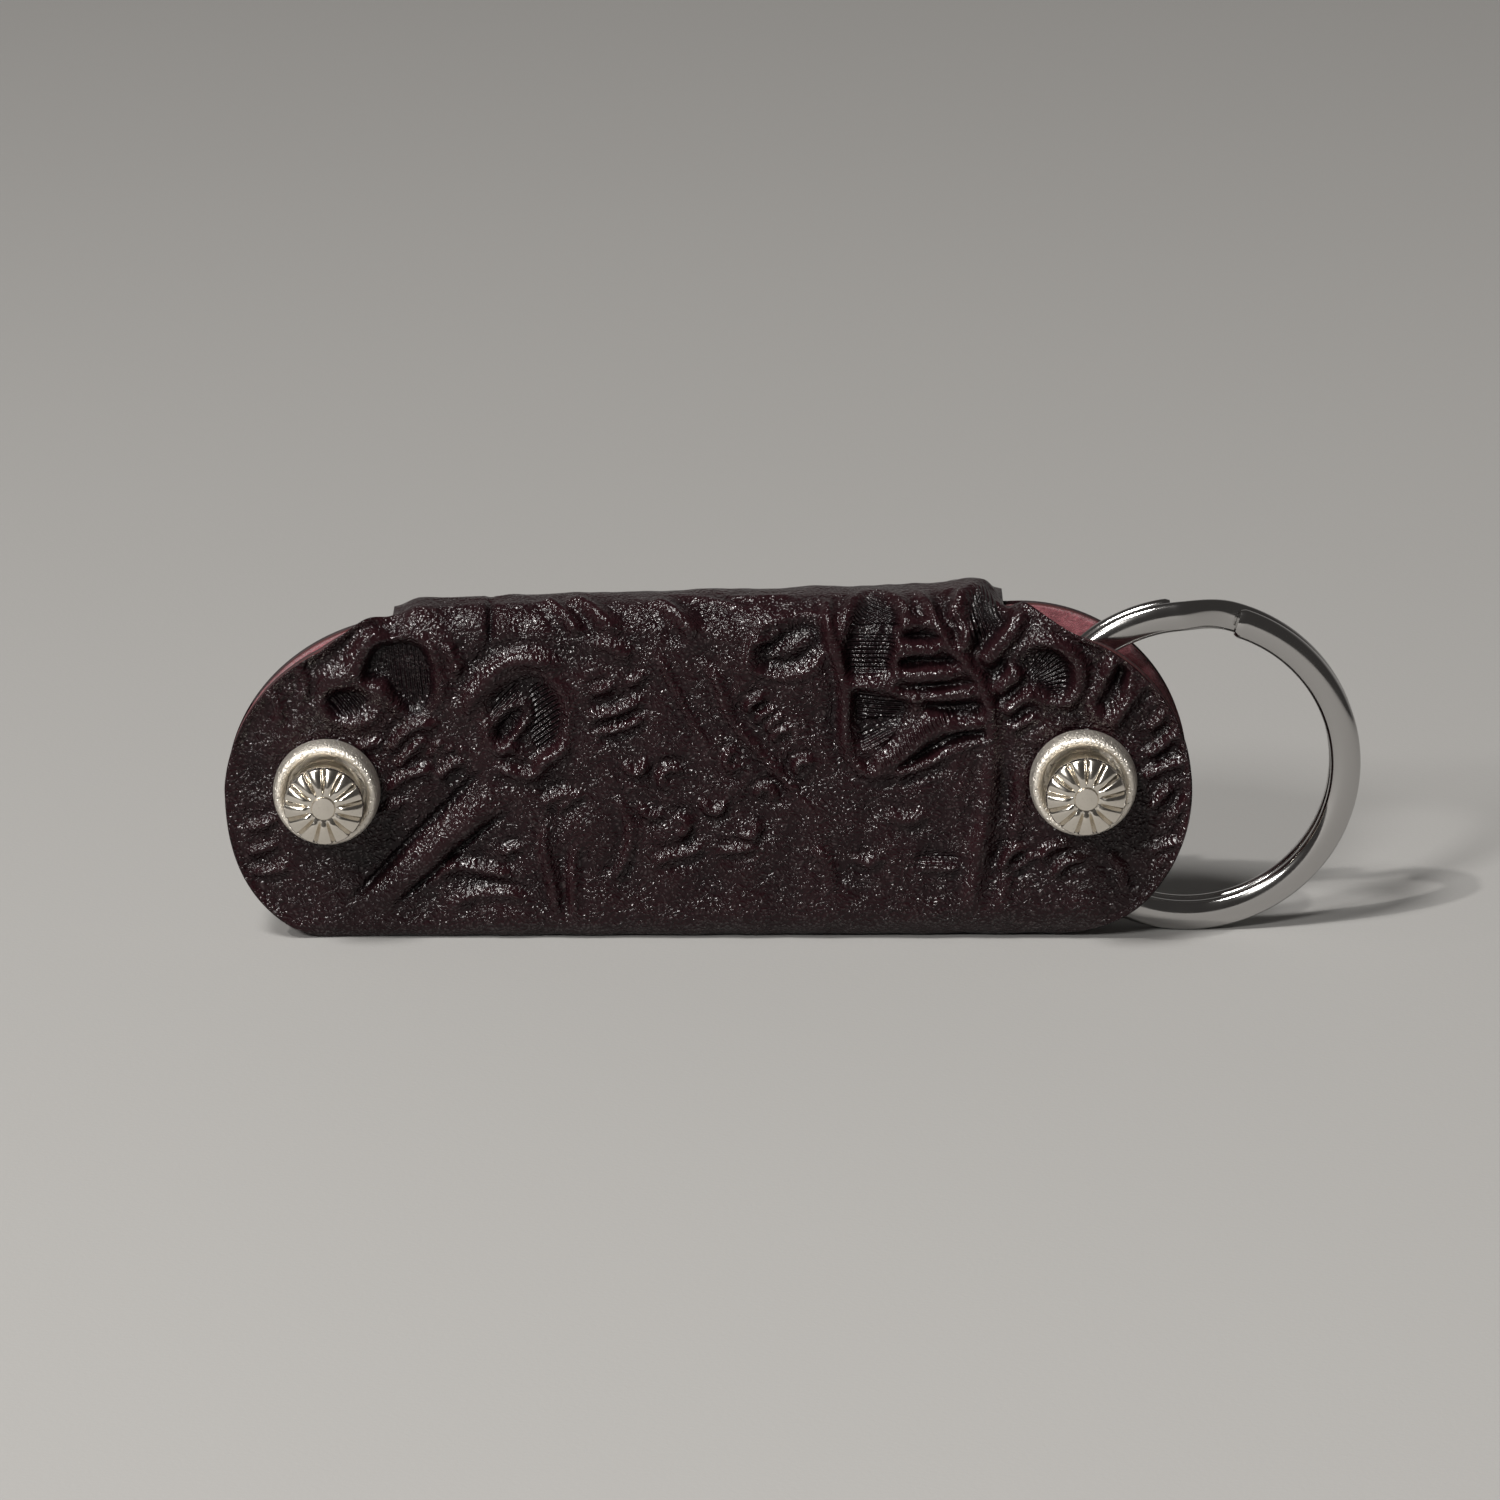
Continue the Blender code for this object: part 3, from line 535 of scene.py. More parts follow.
def bowl(canvas, points, depth, slope):
    """A hollow pressed in behind a raised rim."""
    _, at, _, _, apart, within = outline(canvas, points, 2.5)
    sunk = -depth * (1 - bell(apart, slope))
    canvas.relief[at] += np.where(within, sunk, BOWL_RISE * bell(apart - BOWL_RIM, BOWL_RIM))


def dome(canvas, points, height, reach):
    _, at, _, _, apart, within = outline(canvas, points, 1)
    swell = height * (1 - np.exp(-apart / reach))
    canvas.relief[at] += np.where(within, swell, 0.0)


def bud(x, p, size):
    """The four corners of a small round bead."""
    return [(x - size, p), (x, p + size), (x + size, p), (x, p - size)]


def hatch(canvas, points, angle, pitch, depth):
    """Fine lines ruled side by side over a patch."""
    _, at, x, p, apart, within = outline(canvas, points, 1)
    phase = (x * math.cos(angle) + p * math.sin(angle)) / pitch
    canvas.rule(at, phase, depth, within, apart)
    canvas.relief[at] -= HATCH_SINK * within * ease(apart / HATCH_FADE)


def fan(canvas, points, root, pitch, depth):
    """Fine lines that spread from a root over a petal."""
    curve, at, x, p, apart, within = outline(canvas, points, 1)
    aim = math.atan2(*(curve.mean(0) - root)[::-1])
    turn = np.mod(np.arctan2(p - root[1], x - root[0]) - aim + math.pi, 2 * math.pi) - math.pi
    reach = np.hypot(*(curve - root).T).max()
    phase = turn * RULED_FAN * reach / pitch
    canvas.rule(at, phase, depth, within, apart)


def pairs(tenths):
    """(x, height) points in millimetres from numbers in tenths of a millimetre."""
    return [(x / 10, height / 10) for x, height in zip(tenths[::2], tenths[1::2])]


def seen(tenths):
    """The points, drawn as seen from the front, taken round the top bend to pattern heights."""
    return [(x, z + BEND_GAIN * max(z - BEND_FROM, 0.0) ** 2) for x, z in pairs(tenths)]


# The tables below hold points in tenths of a millimetre, as x, height, x, height and so on

# Raised strokes, from left to right: height, width, points
RIDGES = (
    (0.55, 0.75, (-362, 242, -344, 252, -327, 260, -319, 276, -306, 296, -286, 305)),
    (0.3, 0.5, (-300, 254, -294, 238, -280, 222)),
    (0.6, 0.7, (-220, 214, -213, 238, -199, 256, -187, 267, -170, 272, -149, 270, -132, 258)),
    (0.35, 0.35, (-186, 190, -174, 203, -167, 216)),
    (0.35, 0.4, (-194, 183, -182, 187, -172, 185)),
    (0.45, 0.5, (-198, 172, -174, 162, -159, 162, -148, 175, -133, 185, -124, 200)),
    (0.45, 0.45, (-154, 132, -138, 139, -122, 148)),
    (0.35, 0.35, (-142, 124, -128, 134, -114, 146)),
    (0.5, 0.5, (-290, 178, -284, 194, -272, 205, -258, 209, -244, 209)),
    (0.4, 0.4, (-286, 164, -276, 181, -264, 193, -254, 195)),
    (0.45, 0.4, (-296, 142, -282, 157, -266, 164, -249, 166)),
    (0.4, 0.4, (-250, 156, -236, 169, -222, 174)),
    (0.3, 0.35, (-324, 186, -310, 190, -296, 193)),
    (0.3, 0.4, (-304, 119, -292, 129, -280, 136)),
    (0.55, 1.2, (-186, 152, -212, 126, -240, 99, -268, 74, -296, 49, -326, 24)),
    (0.35, 0.5, (-256, 67, -226, 71, -198, 66, -176, 61)),
    (0.35, 0.35, (-190, 83, -180, 90, -170, 88)),
    (0.3, 0.45, (-242, 32, -216, 44, -186, 46, -162, 36)),
    (0.3, 0.35, (-428, 84, -412, 88, -396, 94)),
    (0.3, 0.35, (-429, 109, -412, 112, -396, 120)),
    (0.3, 0.35, (-426, 68, -408, 66, -386, 72)),
    (0.3, 0.4, (-382, 272, -370, 252, -372, 228)),
    (0.3, 0.4, (-406, 244, -394, 226, -396, 206)),
    (0.35, 0.45, (-238, 290, -232, 274, -226, 256)),
    (0.55, 0.6, (-152, 332, -136, 322, -122, 308, -114, 294)),
    (0.6, 0.7, (-132, 334, -112, 324, -92, 310, -76, 296)),
    (0.3, 0.6, (-104, 294, -86, 284, -66, 274)),
    (0.55, 0.7, (-52, 328, -34, 320, -18, 308, -6, 294)),
    (0.3, 0.5, (-28, 336, -4, 330, 24, 322, 42, 316)),
    (0.25, 0.4, (12, 334, 44, 330, 84, 332)),
    (0.35, 0.35, (-108, 242, -96, 243, -84, 249)),
    (0.35, 0.4, (-74, 249, -64, 253, -56, 262)),
    (0.5, 0.45, (-112, 217, -90, 219, -72, 226, -58, 238)),
    (0.5, 0.4, (-104, 203, -84, 206, -68, 212, -56, 222)),
    (0.3, 0.35, (-46, 284, -32, 250, -14, 214, 4, 182)),
    (0.3, 0.4, (-14, 280, 10, 252, 22, 216, 48, 184, 76, 152, 104, 114)),
    (0.35, 0.4, (-52, 77, -34, 82, -16, 86, -2, 96)),
    (0.3, 0.35, (6, 88, 26, 89, 48, 95)),
    (0.3, 0.35, (-66, 132, -52, 122, -38, 126)),
    (0.35, 0.4, (-148, 120, -151, 90, -144, 52, -139, 18)),
    (0.35, 0.4, (-123, 96, -125, 54, -124, 18)),
    (0.3, 0.4, (-86, 144, -72, 112, -76, 80, -94, 52)),
    (0.3, 0.45, (98, 94, 112, 74, 116, 46)),
    (0.25, 0.4, (132, 84, 148, 76, 162, 86)),
    (0.3, 0.35, (42, 289, 58, 292, 70, 304)),
    (0.4, 0.35, (39, 220, 41, 231, 54, 237)),
    (0.4, 0.35, (49, 209, 51, 219, 65, 225)),
    (0.4, 0.35, (55, 201, 60, 212, 72, 218)),
    (0.4, 0.35, (61, 193, 65, 203, 78, 208)),
    (0.35, 0.4, (110, 330, 113, 310, 115, 292, 122, 266)),
    (0.45, 0.45, (116, 296, 124, 266, 128, 236, 126, 206, 132, 180, 148, 164, 174, 159)),
    (0.7, 0.8, (146, 175, 168, 176, 182, 189, 197, 203, 213, 213, 232, 224)),
    (0.35, 0.4, (170, 158, 196, 172, 222, 185)),
    (0.38, 0.55, (180, 256, 204, 259, 232, 260)),
    (0.38, 0.5, (200, 236, 222, 240, 248, 243)),
    (0.45, 0.4, (218, 204, 238, 209, 258, 213)),
    (0.36, 0.55, (174, 282, 194, 284, 218, 283)),
    (0.34, 0.5, (176, 308, 194, 309, 208, 306)),
    (0.45, 0.45, (190, 344, 203, 324, 213, 304, 225, 286, 239, 269, 252, 253, 259, 233, 263, 210,
        267, 186)),
    (0.65, 0.6, (250, 264, 264, 280, 278, 300, 292, 322)),
    (0.5, 0.5, (234, 280, 240, 294, 249, 308)),
    (0.5, 0.5, (224, 308, 230, 322, 236, 334)),
    (0.65, 0.6, (264, 239, 276, 252, 288, 266)),
    (0.6, 0.5, (272, 220, 286, 234, 302, 242)),
    (0.4, 0.35, (278, 204, 290, 213, 304, 220)),
    (0.5, 0.5, (304, 294, 326, 286, 341, 270, 343, 250, 334, 234, 318, 228)),
    (0.34, 0.6, (263, 206, 261, 170, 258, 134, 252, 96, 245, 54, 241, 16)),
    (0.26, 0.5, (289, 190, 288, 154, 285, 110, 276, 64, 271, 18)),
    (0.45, 0.45, (369, 204, 382, 224, 394, 242, 406, 260)),
    (0.35, 0.4, (404, 206, 414, 215, 422, 226)),
    (0.4, 0.4, (403, 180, 418, 192, 434, 206)),
    (0.4, 0.4, (399, 159, 418, 170, 442, 177)),
    (0.35, 0.35, (406, 128, 416, 140, 428, 154)),
    (0.35, 0.35, (426, 119, 436, 132, 446, 149)),
    (0.35, 0.4, (408, 89, 424, 95, 438, 99)),
    (0.3, 0.35, (412, 68, 419, 80, 430, 88)),
    (0.35, 0.45, (364, 256, 371, 270, 374, 288)),
    (0.3, 0.4, (384, 240, 389, 256, 392, 272)),
    (0.35, 0.35, (306, 79, 316, 93, 336, 98)),
    (0.4, 0.35, (319, 62, 330, 78, 354, 85)),
    (0.4, 0.4, (269, 68, 280, 88, 300, 93)),
    (0.3, 0.35, (280, 69, 292, 78, 304, 89)),
    (0.3, 0.4, (366, 90, 382, 72, 386, 48)),
    (0.3, 0.45, (164, 126, 186, 118, 204, 128)),
    (0.3, 0.45, (194, 76, 214, 74, 234, 72)),
)

# Bowls behind a rim: depth, width of the slope, points
HOLLOWS = (
    (0.75, 0.6, (-314, 266, -304, 288, -284, 295, -264, 289, -252, 273, -249, 248, -253, 229, -270, 219,
        -286, 230, -298, 248, -312, 252)),
    (0.35, 0.5, (-350, 234, -334, 242, -314, 240, -306, 226, -320, 214, -342, 216)),
    (0.3, 0.8, (-200, 209, -197, 234, -178, 250, -152, 253, -136, 238, -131, 214, -138, 192, -156, 180,
        -176, 184, -194, 190)),
    (0.5, 0.5, (-196, 204, -184, 219, -172, 225, -169, 216, -180, 198, -192, 194)),
    (0.45, 0.6, (44, 272, 54, 262, 84, 263, 106, 282, 108, 302, 98, 312, 74, 309, 52, 296)),
    (0.4, 0.5, (126, 280, 134, 316, 152, 336, 174, 326, 179, 299, 172, 272, 168, 258, 130, 256)),
    (0.45, 0.5, (136, 242, 160, 241, 186, 236, 184, 218, 164, 202, 142, 192, 134, 214)),
    (0.6, 0.5, (178, 249, 210, 251, 240, 253, 244, 250, 224, 246, 198, 243, 182, 240)),
    (0.6, 0.5, (178, 275, 202, 276, 226, 275, 232, 269, 206, 266, 178, 264)),
    (0.55, 0.5, (180, 301, 200, 301, 214, 298, 216, 292, 198, 291, 180, 290)),
    (0.5, 0.5, (202, 229, 224, 233, 250, 234, 254, 224, 232, 219, 214, 218)),
    (0.6, 0.5, (164, 169, 184, 176, 204, 190, 232, 206, 256, 202, 226, 192, 194, 174)),
    (0.5, 0.6, (239, 304, 246, 332, 262, 342, 280, 330, 276, 312, 262, 292, 252, 282)),
    (0.55, 0.6, (284, 272, 302, 286, 322, 282, 335, 266, 334, 246, 322, 236, 304, 242, 290, 254)),
    (0.5, 0.5, (356, 232, 366, 248, 376, 266, 388, 262, 380, 242, 368, 222)),
)

# The two cuts along the left stem
STEM_LINES = (
    (-203, 170, -222, 150, -245, 126, -270, 102, -296, 74, -318, 52, -344, 28),
    (-176, 126, -199, 114, -222, 95, -246, 73, -270, 51, -300, 24),
)

# Ruled patches: angle, pitch, depth, outline
HATCHES = (
    (2.4, 0.45, 1.0, (-200, 210, -197, 234, -178, 250, -162, 252, -164, 236, -172, 228, -186, 222)),
    (2.2, 0.45, 1.0, (-160, 252, -144, 246, -133, 228, -134, 204, -144, 186, -158, 184, -164, 200,
        -162, 222, -166, 236)),
    (0.08, 0.4, 0.5, (-308, 274, -284, 292, -258, 276, -254, 242, -274, 226, -294, 252)),
    (0.7, 0.5, 0.8, (-350, 236, -328, 242, -310, 236, -322, 216, -344, 216)),
    (0.92, 0.42, 0.9, (130, 294, 138, 324, 156, 338, 174, 324, 178, 300, 154, 300)),
    (1.57, 0.42, 0.8, (128, 296, 154, 302, 176, 298, 172, 270, 168, 260, 132, 258)),
    (1.5, 0.42, 0.8, (138, 242, 164, 240, 184, 232, 176, 216, 154, 208, 138, 210)),
    (2.05, 0.42, 0.8, (140, 204, 168, 208, 178, 200, 160, 186, 144, 186)),
    (0.45, 0.42, 1.0, (154, 174, 172, 173, 196, 196, 230, 220, 226, 228, 192, 210, 170, 186)),
    (1.57, 0.42, 0.6, (192, 86, 210, 88, 230, 86, 230, 72, 210, 69, 192, 72)),
    (0.25, 0.42, 1.0, (238, 296, 244, 328, 260, 340, 278, 326, 270, 308, 254, 288)),
)

# Beaded lines: height, rows, points
BEADS = (
    (0.16, 2, (292, 324, 312, 306, 332, 292, 348, 274, 351, 252, 345, 228, 330, 213, 310, 206)),
    (0.14, 2, (302, 202, 296, 184, 296, 160, 294, 134)),
    (0.14, 2, (266, 196, 263, 164, 261, 132, 256, 104)),
    (0.14, 1, (172, 154, 194, 164, 220, 178)),
    (0.14, 1, (172, 150, 196, 154, 220, 162)),
    (0.14, 1, (174, 146, 196, 147, 214, 150)),
    (0.16, 1, (222, 156, 229, 170, 234, 184)),
    (0.16, 1, (229, 142, 238, 160, 246, 180)),
    (0.16, 1, (236, 130, 246, 146, 254, 162)),
    (0.16, 1, (242, 118, 250, 128, 257, 140)),
    (0.12, 1, (200, 330, 212, 310, 224, 290, 238, 272, 250, 258)),
    (0.12, 1, (119, 290, 125, 266, 129, 238, 127, 208, 134, 182)),
    (0.12, 1, (56, 256, 76, 252, 98, 258, 110, 272)),
    (0.12, 1, (60, 248, 78, 244, 96, 240, 108, 228)),
)

# A berry behind the middle leaf, the dots of a flower's heart, one cut and one ruled petal, and their
# measures; a tool is the depth, width and taper of a groove
BERRY = (56, 274, 68, 289, 84, 300, 99, 302, 101, 289, 90, 276, 72, 269)
HEART = (-247, 190, -236, 186, -245, 173, -234, 175, -254, 182, -226, 184)
LEFT_CUT = (-199, 350, -198, 326, -198, 300, -200, 278)
RULED_PETAL = (296, 260, 302, 284, 322, 280, 334, 264, 332, 246, 320, 238, 306, 244)
RULED_PETAL_ROOT, RULED_PETAL_PITCH = (28.2, 24.2), 0.4
BERRY_HEIGHT, BERRY_REACH = 0.6, 1.0
BUD_SIZE, BUD_HEIGHT, BUD_REACH = 0.42, 0.4, 0.25
LEFT_CUT_TOOL, STEM_TOOL = (0.5, 0.3, 5), (0.6, 0.32, 4)

# Scrolls: x, pattern height, size, turn
SCROLLS = (
    (-6.4, 17.2, 1.1, 2.9), (-3.4, 15.6, 1.4, 0.4), (0.9, 13.4, 1.2, 2.6), (2.6, 17.4, 1.1, 1.4),
    (5.2, 14.2, 1.1, -0.6), (8.8, 16.8, 1.0, 0.2), (-2.6, 11.4, 1.0, 4.4), (4.0, 11.0, 0.9, 3.4),
)
SCROLL_HEIGHT, SCROLL_WIDTH, SCROLL_SWEEP, SCROLL_SHRINK = 0.42, 0.36, 4.6, 0.16

# One spray, about its flower's middle (a leaf's tool is its depth and rim), and where the sprays and
# curved cuts of the hidden sides go
SPRAY_LEAF = (11, -5, 26, -15, 44, -9, 48, 6, 34, 15, 16, 10)
SPRAY_HEART = (0, 0, 7, 3, -5, 6, 1, -8)
SPRAY_UPPER_STEM = (-36, -34, -64, -56, -98, -60, -124, -42, -126, -14)
SPRAY_LOWER_STEM = (-24, -46, -60, -72, -104, -78, -140, -52)
SPRAY_SIDE_LEAF = (-60, -36, -74, -12, -64, 16, -48, 2, -46, -20)
SPRAY_SIDE_ROOT = (-5.4, -4.4)
SPRAY_LEAF_TOOL, SPRAY_SIDE_TOOL = (0.5, 0.45), (0.4, 0.4)
SPRAY_BUD_SIZE, SPRAY_BUD_HEIGHT = 0.35, 0.3
CUT_DEPTH, CUT_REACH = 0.4, 0.8
FLAP_SPRAYS = (
    (-14.0, 49.0, 0.5, 1.15), (12.0, 47.0, 3.5, 1.1), (-25.0, 58.0, 2.2, 0.8), (24.0, 57.0, 5.6, 0.8),
)
BACK_SPRAYS = ((-26.0, 17.0, 0.8, 1.1), (0.0, 13.0, 2.6, 1.2), (27.0, 18.0, 4.0, 1.1))
FLAP_CUTS, FLAP_CUT = (-6.0, 4.0, 22.0, -24.0), (0, 385, 24, 420, 16, 460, -20, 490)
BACK_CUTS, BACK_CUT = (-40.0, -12.0, 13.0, 38.0), (0, 30, 24, 90, 16, 160, -20, 220, -10, 280)


def front_tooling(canvas):
    """The flowers, leaves and stems across the front panel and over the top bend."""
    for depth, slope, points in HOLLOWS:
        bowl(canvas, seen(points), depth, slope)
    for height, width, points in RIDGES:
        ridge(canvas, seen(points), height, width)
    dome(canvas, seen(BERRY), BERRY_HEIGHT, BERRY_REACH)
    for x, p in pairs(HEART):
        dome(canvas, bud(x, p, BUD_SIZE), BUD_HEIGHT, BUD_REACH)
    groove(canvas, seen(LEFT_CUT), *LEFT_CUT_TOOL)
    for points in STEM_LINES:
        groove(canvas, pairs(points), *STEM_TOOL)
    for angle, pitch, depth, points in HATCHES:
        hatch(canvas, seen(points), angle, pitch, depth)
    fan(canvas, seen(RULED_PETAL), RULED_PETAL_ROOT, RULED_PETAL_PITCH, 1.0)
    for height, rows, points in BEADS:
        beads(canvas, seen(points), height, rows)
    lower_scrolls(canvas)


def lower_scrolls(canvas):
    """Low relief scrolls in the middle, on the place that the photographed holder keeps for a stamp."""
    for x, p, size, turn in SCROLLS:
        angles = np.linspace(0.0, SCROLL_SWEEP, 12)
        radii = size * (1 - SCROLL_SHRINK * angles)
        spiral = np.stack([x + radii * np.cos(turn + angles), p + radii * np.sin(turn + angles)], axis=1)
        ridge(canvas, spiral, SCROLL_HEIGHT, SCROLL_WIDTH)


def spray(canvas, x, p, turn, size):
    """One flower with a curling stem and two leaves, turned and sized."""

    def turned(points, angle):
        cos, sin = math.cos(angle), math.sin(angle)
        return [(a * cos - b * sin, a * sin + b * cos) for a, b in points]

    def place(points):
        return [(x + size * a, p + size * b) for a, b in turned(points, turn)]

    for k in range(5):
        leaf = turned(pairs(SPRAY_LEAF), k * 2 * math.pi / 5)
        petal(canvas, place(leaf), place([(0.0, 0.0)])[0], *SPRAY_LEAF_TOOL)
    for a, b in pairs(SPRAY_HEART):
        dome(canvas, place(bud(a, b, SPRAY_BUD_SIZE)), SPRAY_BUD_HEIGHT, BUD_REACH)
    bevel(canvas, place(pairs(SPRAY_UPPER_STEM)), 0.5, CUT_REACH, 1)
    bevel(canvas, place(pairs(SPRAY_LOWER_STEM)), 0.45, CUT_REACH, -1)
    petal(canvas, place(pairs(SPRAY_SIDE_LEAF)), place([SPRAY_SIDE_ROOT])[0], *SPRAY_SIDE_TOOL)


def hidden_tooling(canvas, sprays, cuts, line):
    """Sprays between rows of curved cuts, on the sides that the photo doesn't show."""
    for x, p, turn, size in sprays:
        spray(canvas, x, p, turn, size)
    for x in cuts:
        bevel(canvas, [(x + across, p) for across, p in pairs(line)], CUT_DEPTH, CUT_REACH, 1)


def tooled(front):
    """The finished relief of one side of the strip."""
    high, step = (FRONT_HIGH, FRONT_STEP) if front else (BACK_HIGH, BACK_STEP)
    canvas = Canvas(CANVAS_X, (CANVAS_LOW, high), step)
    if front:
        front_tooling(canvas)
        hidden_tooling(canvas, FLAP_SPRAYS, FLAP_CUTS, FLAP_CUT)
    else:
        hidden_tooling(canvas, BACK_SPRAYS, BACK_CUTS, BACK_CUT)
    canvas.relief = RELIEF_GAIN * np.clip(canvas.relief, RELIEF_LOW, RELIEF_HIGH)
    canvas.relief -= wrinkles(canvas)
    if front:
        calm = bell(canvas.ps - CREST_PATTERN, CREST_CALM) + bell(canvas.ps, SOLE_CALM)
        canvas.relief *= (1 - CALM_SHARE * np.clip(calm, 0.0, 1.0))[:, None]
    canvas.soften(RELIEF_BLUR)
    return canvas


def wrinkles(canvas):
    """Uneven swelling and puckering of the hide, as long waves that run every way."""
    rng = np.random.default_rng(WAVE_SEED)
    x, p = np.meshgrid(canvas.xs, canvas.ps)
    total = np.zeros(x.shape)
    for _ in range(WAVES):
        turn, length = rng.uniform(0, math.pi), rng.uniform(*WAVE_LENGTHS)
        bend = 0.6 * np.sin(0.35 * (x * math.sin(turn) - p * math.cos(turn)) + rng.uniform(0, 6.3))
        wave = 2 * math.pi * (x * math.cos(turn) + p * math.sin(turn) + bend) / length
        total += np.sin(wave + rng.uniform(0, 6.3)) * length / 3.0
    return SWELLING + PUCKER * total


# The leather as meshes, drawn up from the grain side


def fold_end(pattern, side):
    """x where a row of the fold ends: on the round end, but never inside the waist."""
    radius = END_RADIUS - EDGE_ROUND
    below = min(END_HEIGHT - pattern, radius)
    power = LOWER_LEFT_POWER if side < 0 else 2.0
    reach = END_SPACING / 2 + radius * (1.0 - (below / radius) ** power) ** (1 / power)
    return side * max(reach, WAIST / 2 - EDGE_ROUND)


def round_end(angle, side):
    """(x, pattern height) on the panel's round end."""
    radius = rise = END_RADIUS - EDGE_ROUND
    if side < 0 < angle:
        trim = UPPER_LEFT_TRIM * math.sin(2 * angle)
        radius, rise = radius - trim, rise - trim - LEFT_TOP_DROP * math.sin(angle)
    power = 2 / LOWER_LEFT_POWER if side < 0 and angle < 0 else 1.0
    x = side * (END_SPACING / 2 + radius * max(math.cos(angle), 0.0) ** power)
    return x, END_HEIGHT + math.copysign(rise * abs(math.sin(angle)) ** power, angle)


def shoulder_end(strip, share, side):
    """(x, pattern height) along the shoulder, from the round end to the flap's straight edge."""
    start_x, start = round_end(SHOULDER_ANGLE, side)
    edge = (FLAP_LEFT + EDGE_ROUND) if side < 0 else (FLAP_RIGHT - EDGE_ROUND)
    end = strip.crown(edge) - CROWN_FLAT - (SHOULDER_CORNER_LEFT if side < 0 else SHOULDER_CORNER)
    middle = (start + end) / 2 - (SHOULDER_SAG_LEFT if side < 0 else SHOULDER_SAG)
    x = mix(start_x, edge, share)
    return x, mix(mix(start, middle, share), mix(middle, end, share), share)


def fold_grid(strip, rows, columns):
    """Rows from the sole's middle line up to just under the tangent line."""
    across = np.linspace(0.0, 1.0, columns)
    xs, ps = [], []
    for share in np.linspace(0.0, 1.0, rows, endpoint=False):
        ends = []
        for side in (-1, 1):
            x = side * WAIST / 2
            for _ in range(20):
                x = fold_end(mix(strip.start(x), tangent_height(x), share), side)
            ends.append(x - (FOLD_TUCK * (1 - share) if side > 0 else 0.0))
        x = mix(ends[0], ends[1], across)
        xs.append(x)
        ps.append(mix(strip.start(x), tangent_height(x), share))
    return xs, ps


def panel_grid(columns, top_angle, rows):
    across = np.linspace(0.0, 1.0, columns)
    starts = []
    for side in (-1, 1):
        x = fold_end(tangent_height(side * WAIST / 2), side)
        share = (END_HEIGHT - tangent_height(x)) / (END_RADIUS - EDGE_ROUND)
        starts.append(-math.asin(share ** (LOWER_LEFT_POWER / 2 if side < 0 else 1.0)))
    xs, ps = [], []
    for share in np.linspace(0.0, 1.0, rows):
        left, right = (round_end(mix(s, top_angle, share), e) for s, e in zip(starts, (-1, 1)))
        xs.append(mix(left[0], right[0], across))
        ps.append(mix(left[1], right[1], across))
    return xs, ps


def front_grid(strip):
    """(x, pattern height, first row of the coarser flap) over the front half of the strip."""
    columns = FRONT_COLUMNS
    across = np.linspace(0.0, 1.0, columns)
    fold_x, fold_p = fold_grid(strip, FOLD_ROWS, columns)
    panel_x, panel_p = panel_grid(columns, SHOULDER_ANGLE, PANEL_ROWS)
    xs, ps = fold_x + panel_x, fold_p + panel_p
    for share in np.linspace(0.0, 1.0, SHOULDER_ROWS + 1)[1:]:
        left, right = (shoulder_end(strip, share, side) for side in (-1, 1))
        xs.append(mix(left[0], right[0], across))
        ps.append(mix(left[1], right[1], across))
    start, edges = ps[-1], (FLAP_LEFT + EDGE_ROUND, FLAP_RIGHT - EDGE_ROUND)
    x = mix(edges[0], edges[1], across)
    bend = strip.crown(x) + BEND_BEHIND
    for share in np.linspace(0.0, 1.0, BEND_ROWS + 1)[1:]:
        xs.append(x)
        ps.append(mix(start, bend, share))
    coarse_from = len(xs) - 1
    corner = FLAP_CORNER - EDGE_ROUND
    top = strip.end(x) - EDGE_ROUND
    for share in np.linspace(0.0, 1.0, FLAP_ROWS + 1)[1:]:
        xs.append(x)
        ps.append(mix(bend, top - corner, share))
    for share in np.linspace(0.0, 1.0, CORNER_ROWS + 1)[1:]:
        angle = QUARTER * share
        inset = corner * (1 - math.cos(angle))
        x = mix(edges[0] + inset, edges[1] - inset, across)
        xs.append(x)
        ps.append(strip.end(x) - EDGE_ROUND - corner * (1 - math.sin(angle)))
    return np.array(xs), np.array(ps), coarse_from


def back_grid(strip):
    """(x, pattern height) over the back panel and its half of the fold."""
    fold_x, fold_p = fold_grid(strip, FOLD_ROWS // 2, BACK_COLUMNS)
    panel_x, panel_p = panel_grid(BACK_COLUMNS, QUARTER, BACK_ROWS)
    return np.array(fold_x + panel_x), np.array(fold_p + panel_p)


def crest_drop(strip, x, pattern):
    """How far the worn top bend has settled: a little everywhere, more at the flap's corners."""
    swell_x, swell, reach = CREST_SWELL
    total = CREST_SETTLE - swell * np.exp(-(((x - swell_x) / reach) ** 2))
    for edge, droop, width in (LEFT_DROOP, RIGHT_DROOP):
        total = total + droop * ease(1 - np.abs(x - edge) / width) ** DROOP_POWER
    return total * np.exp(-(((pattern - strip.crown(x)) / CREST_REACH) ** 2))


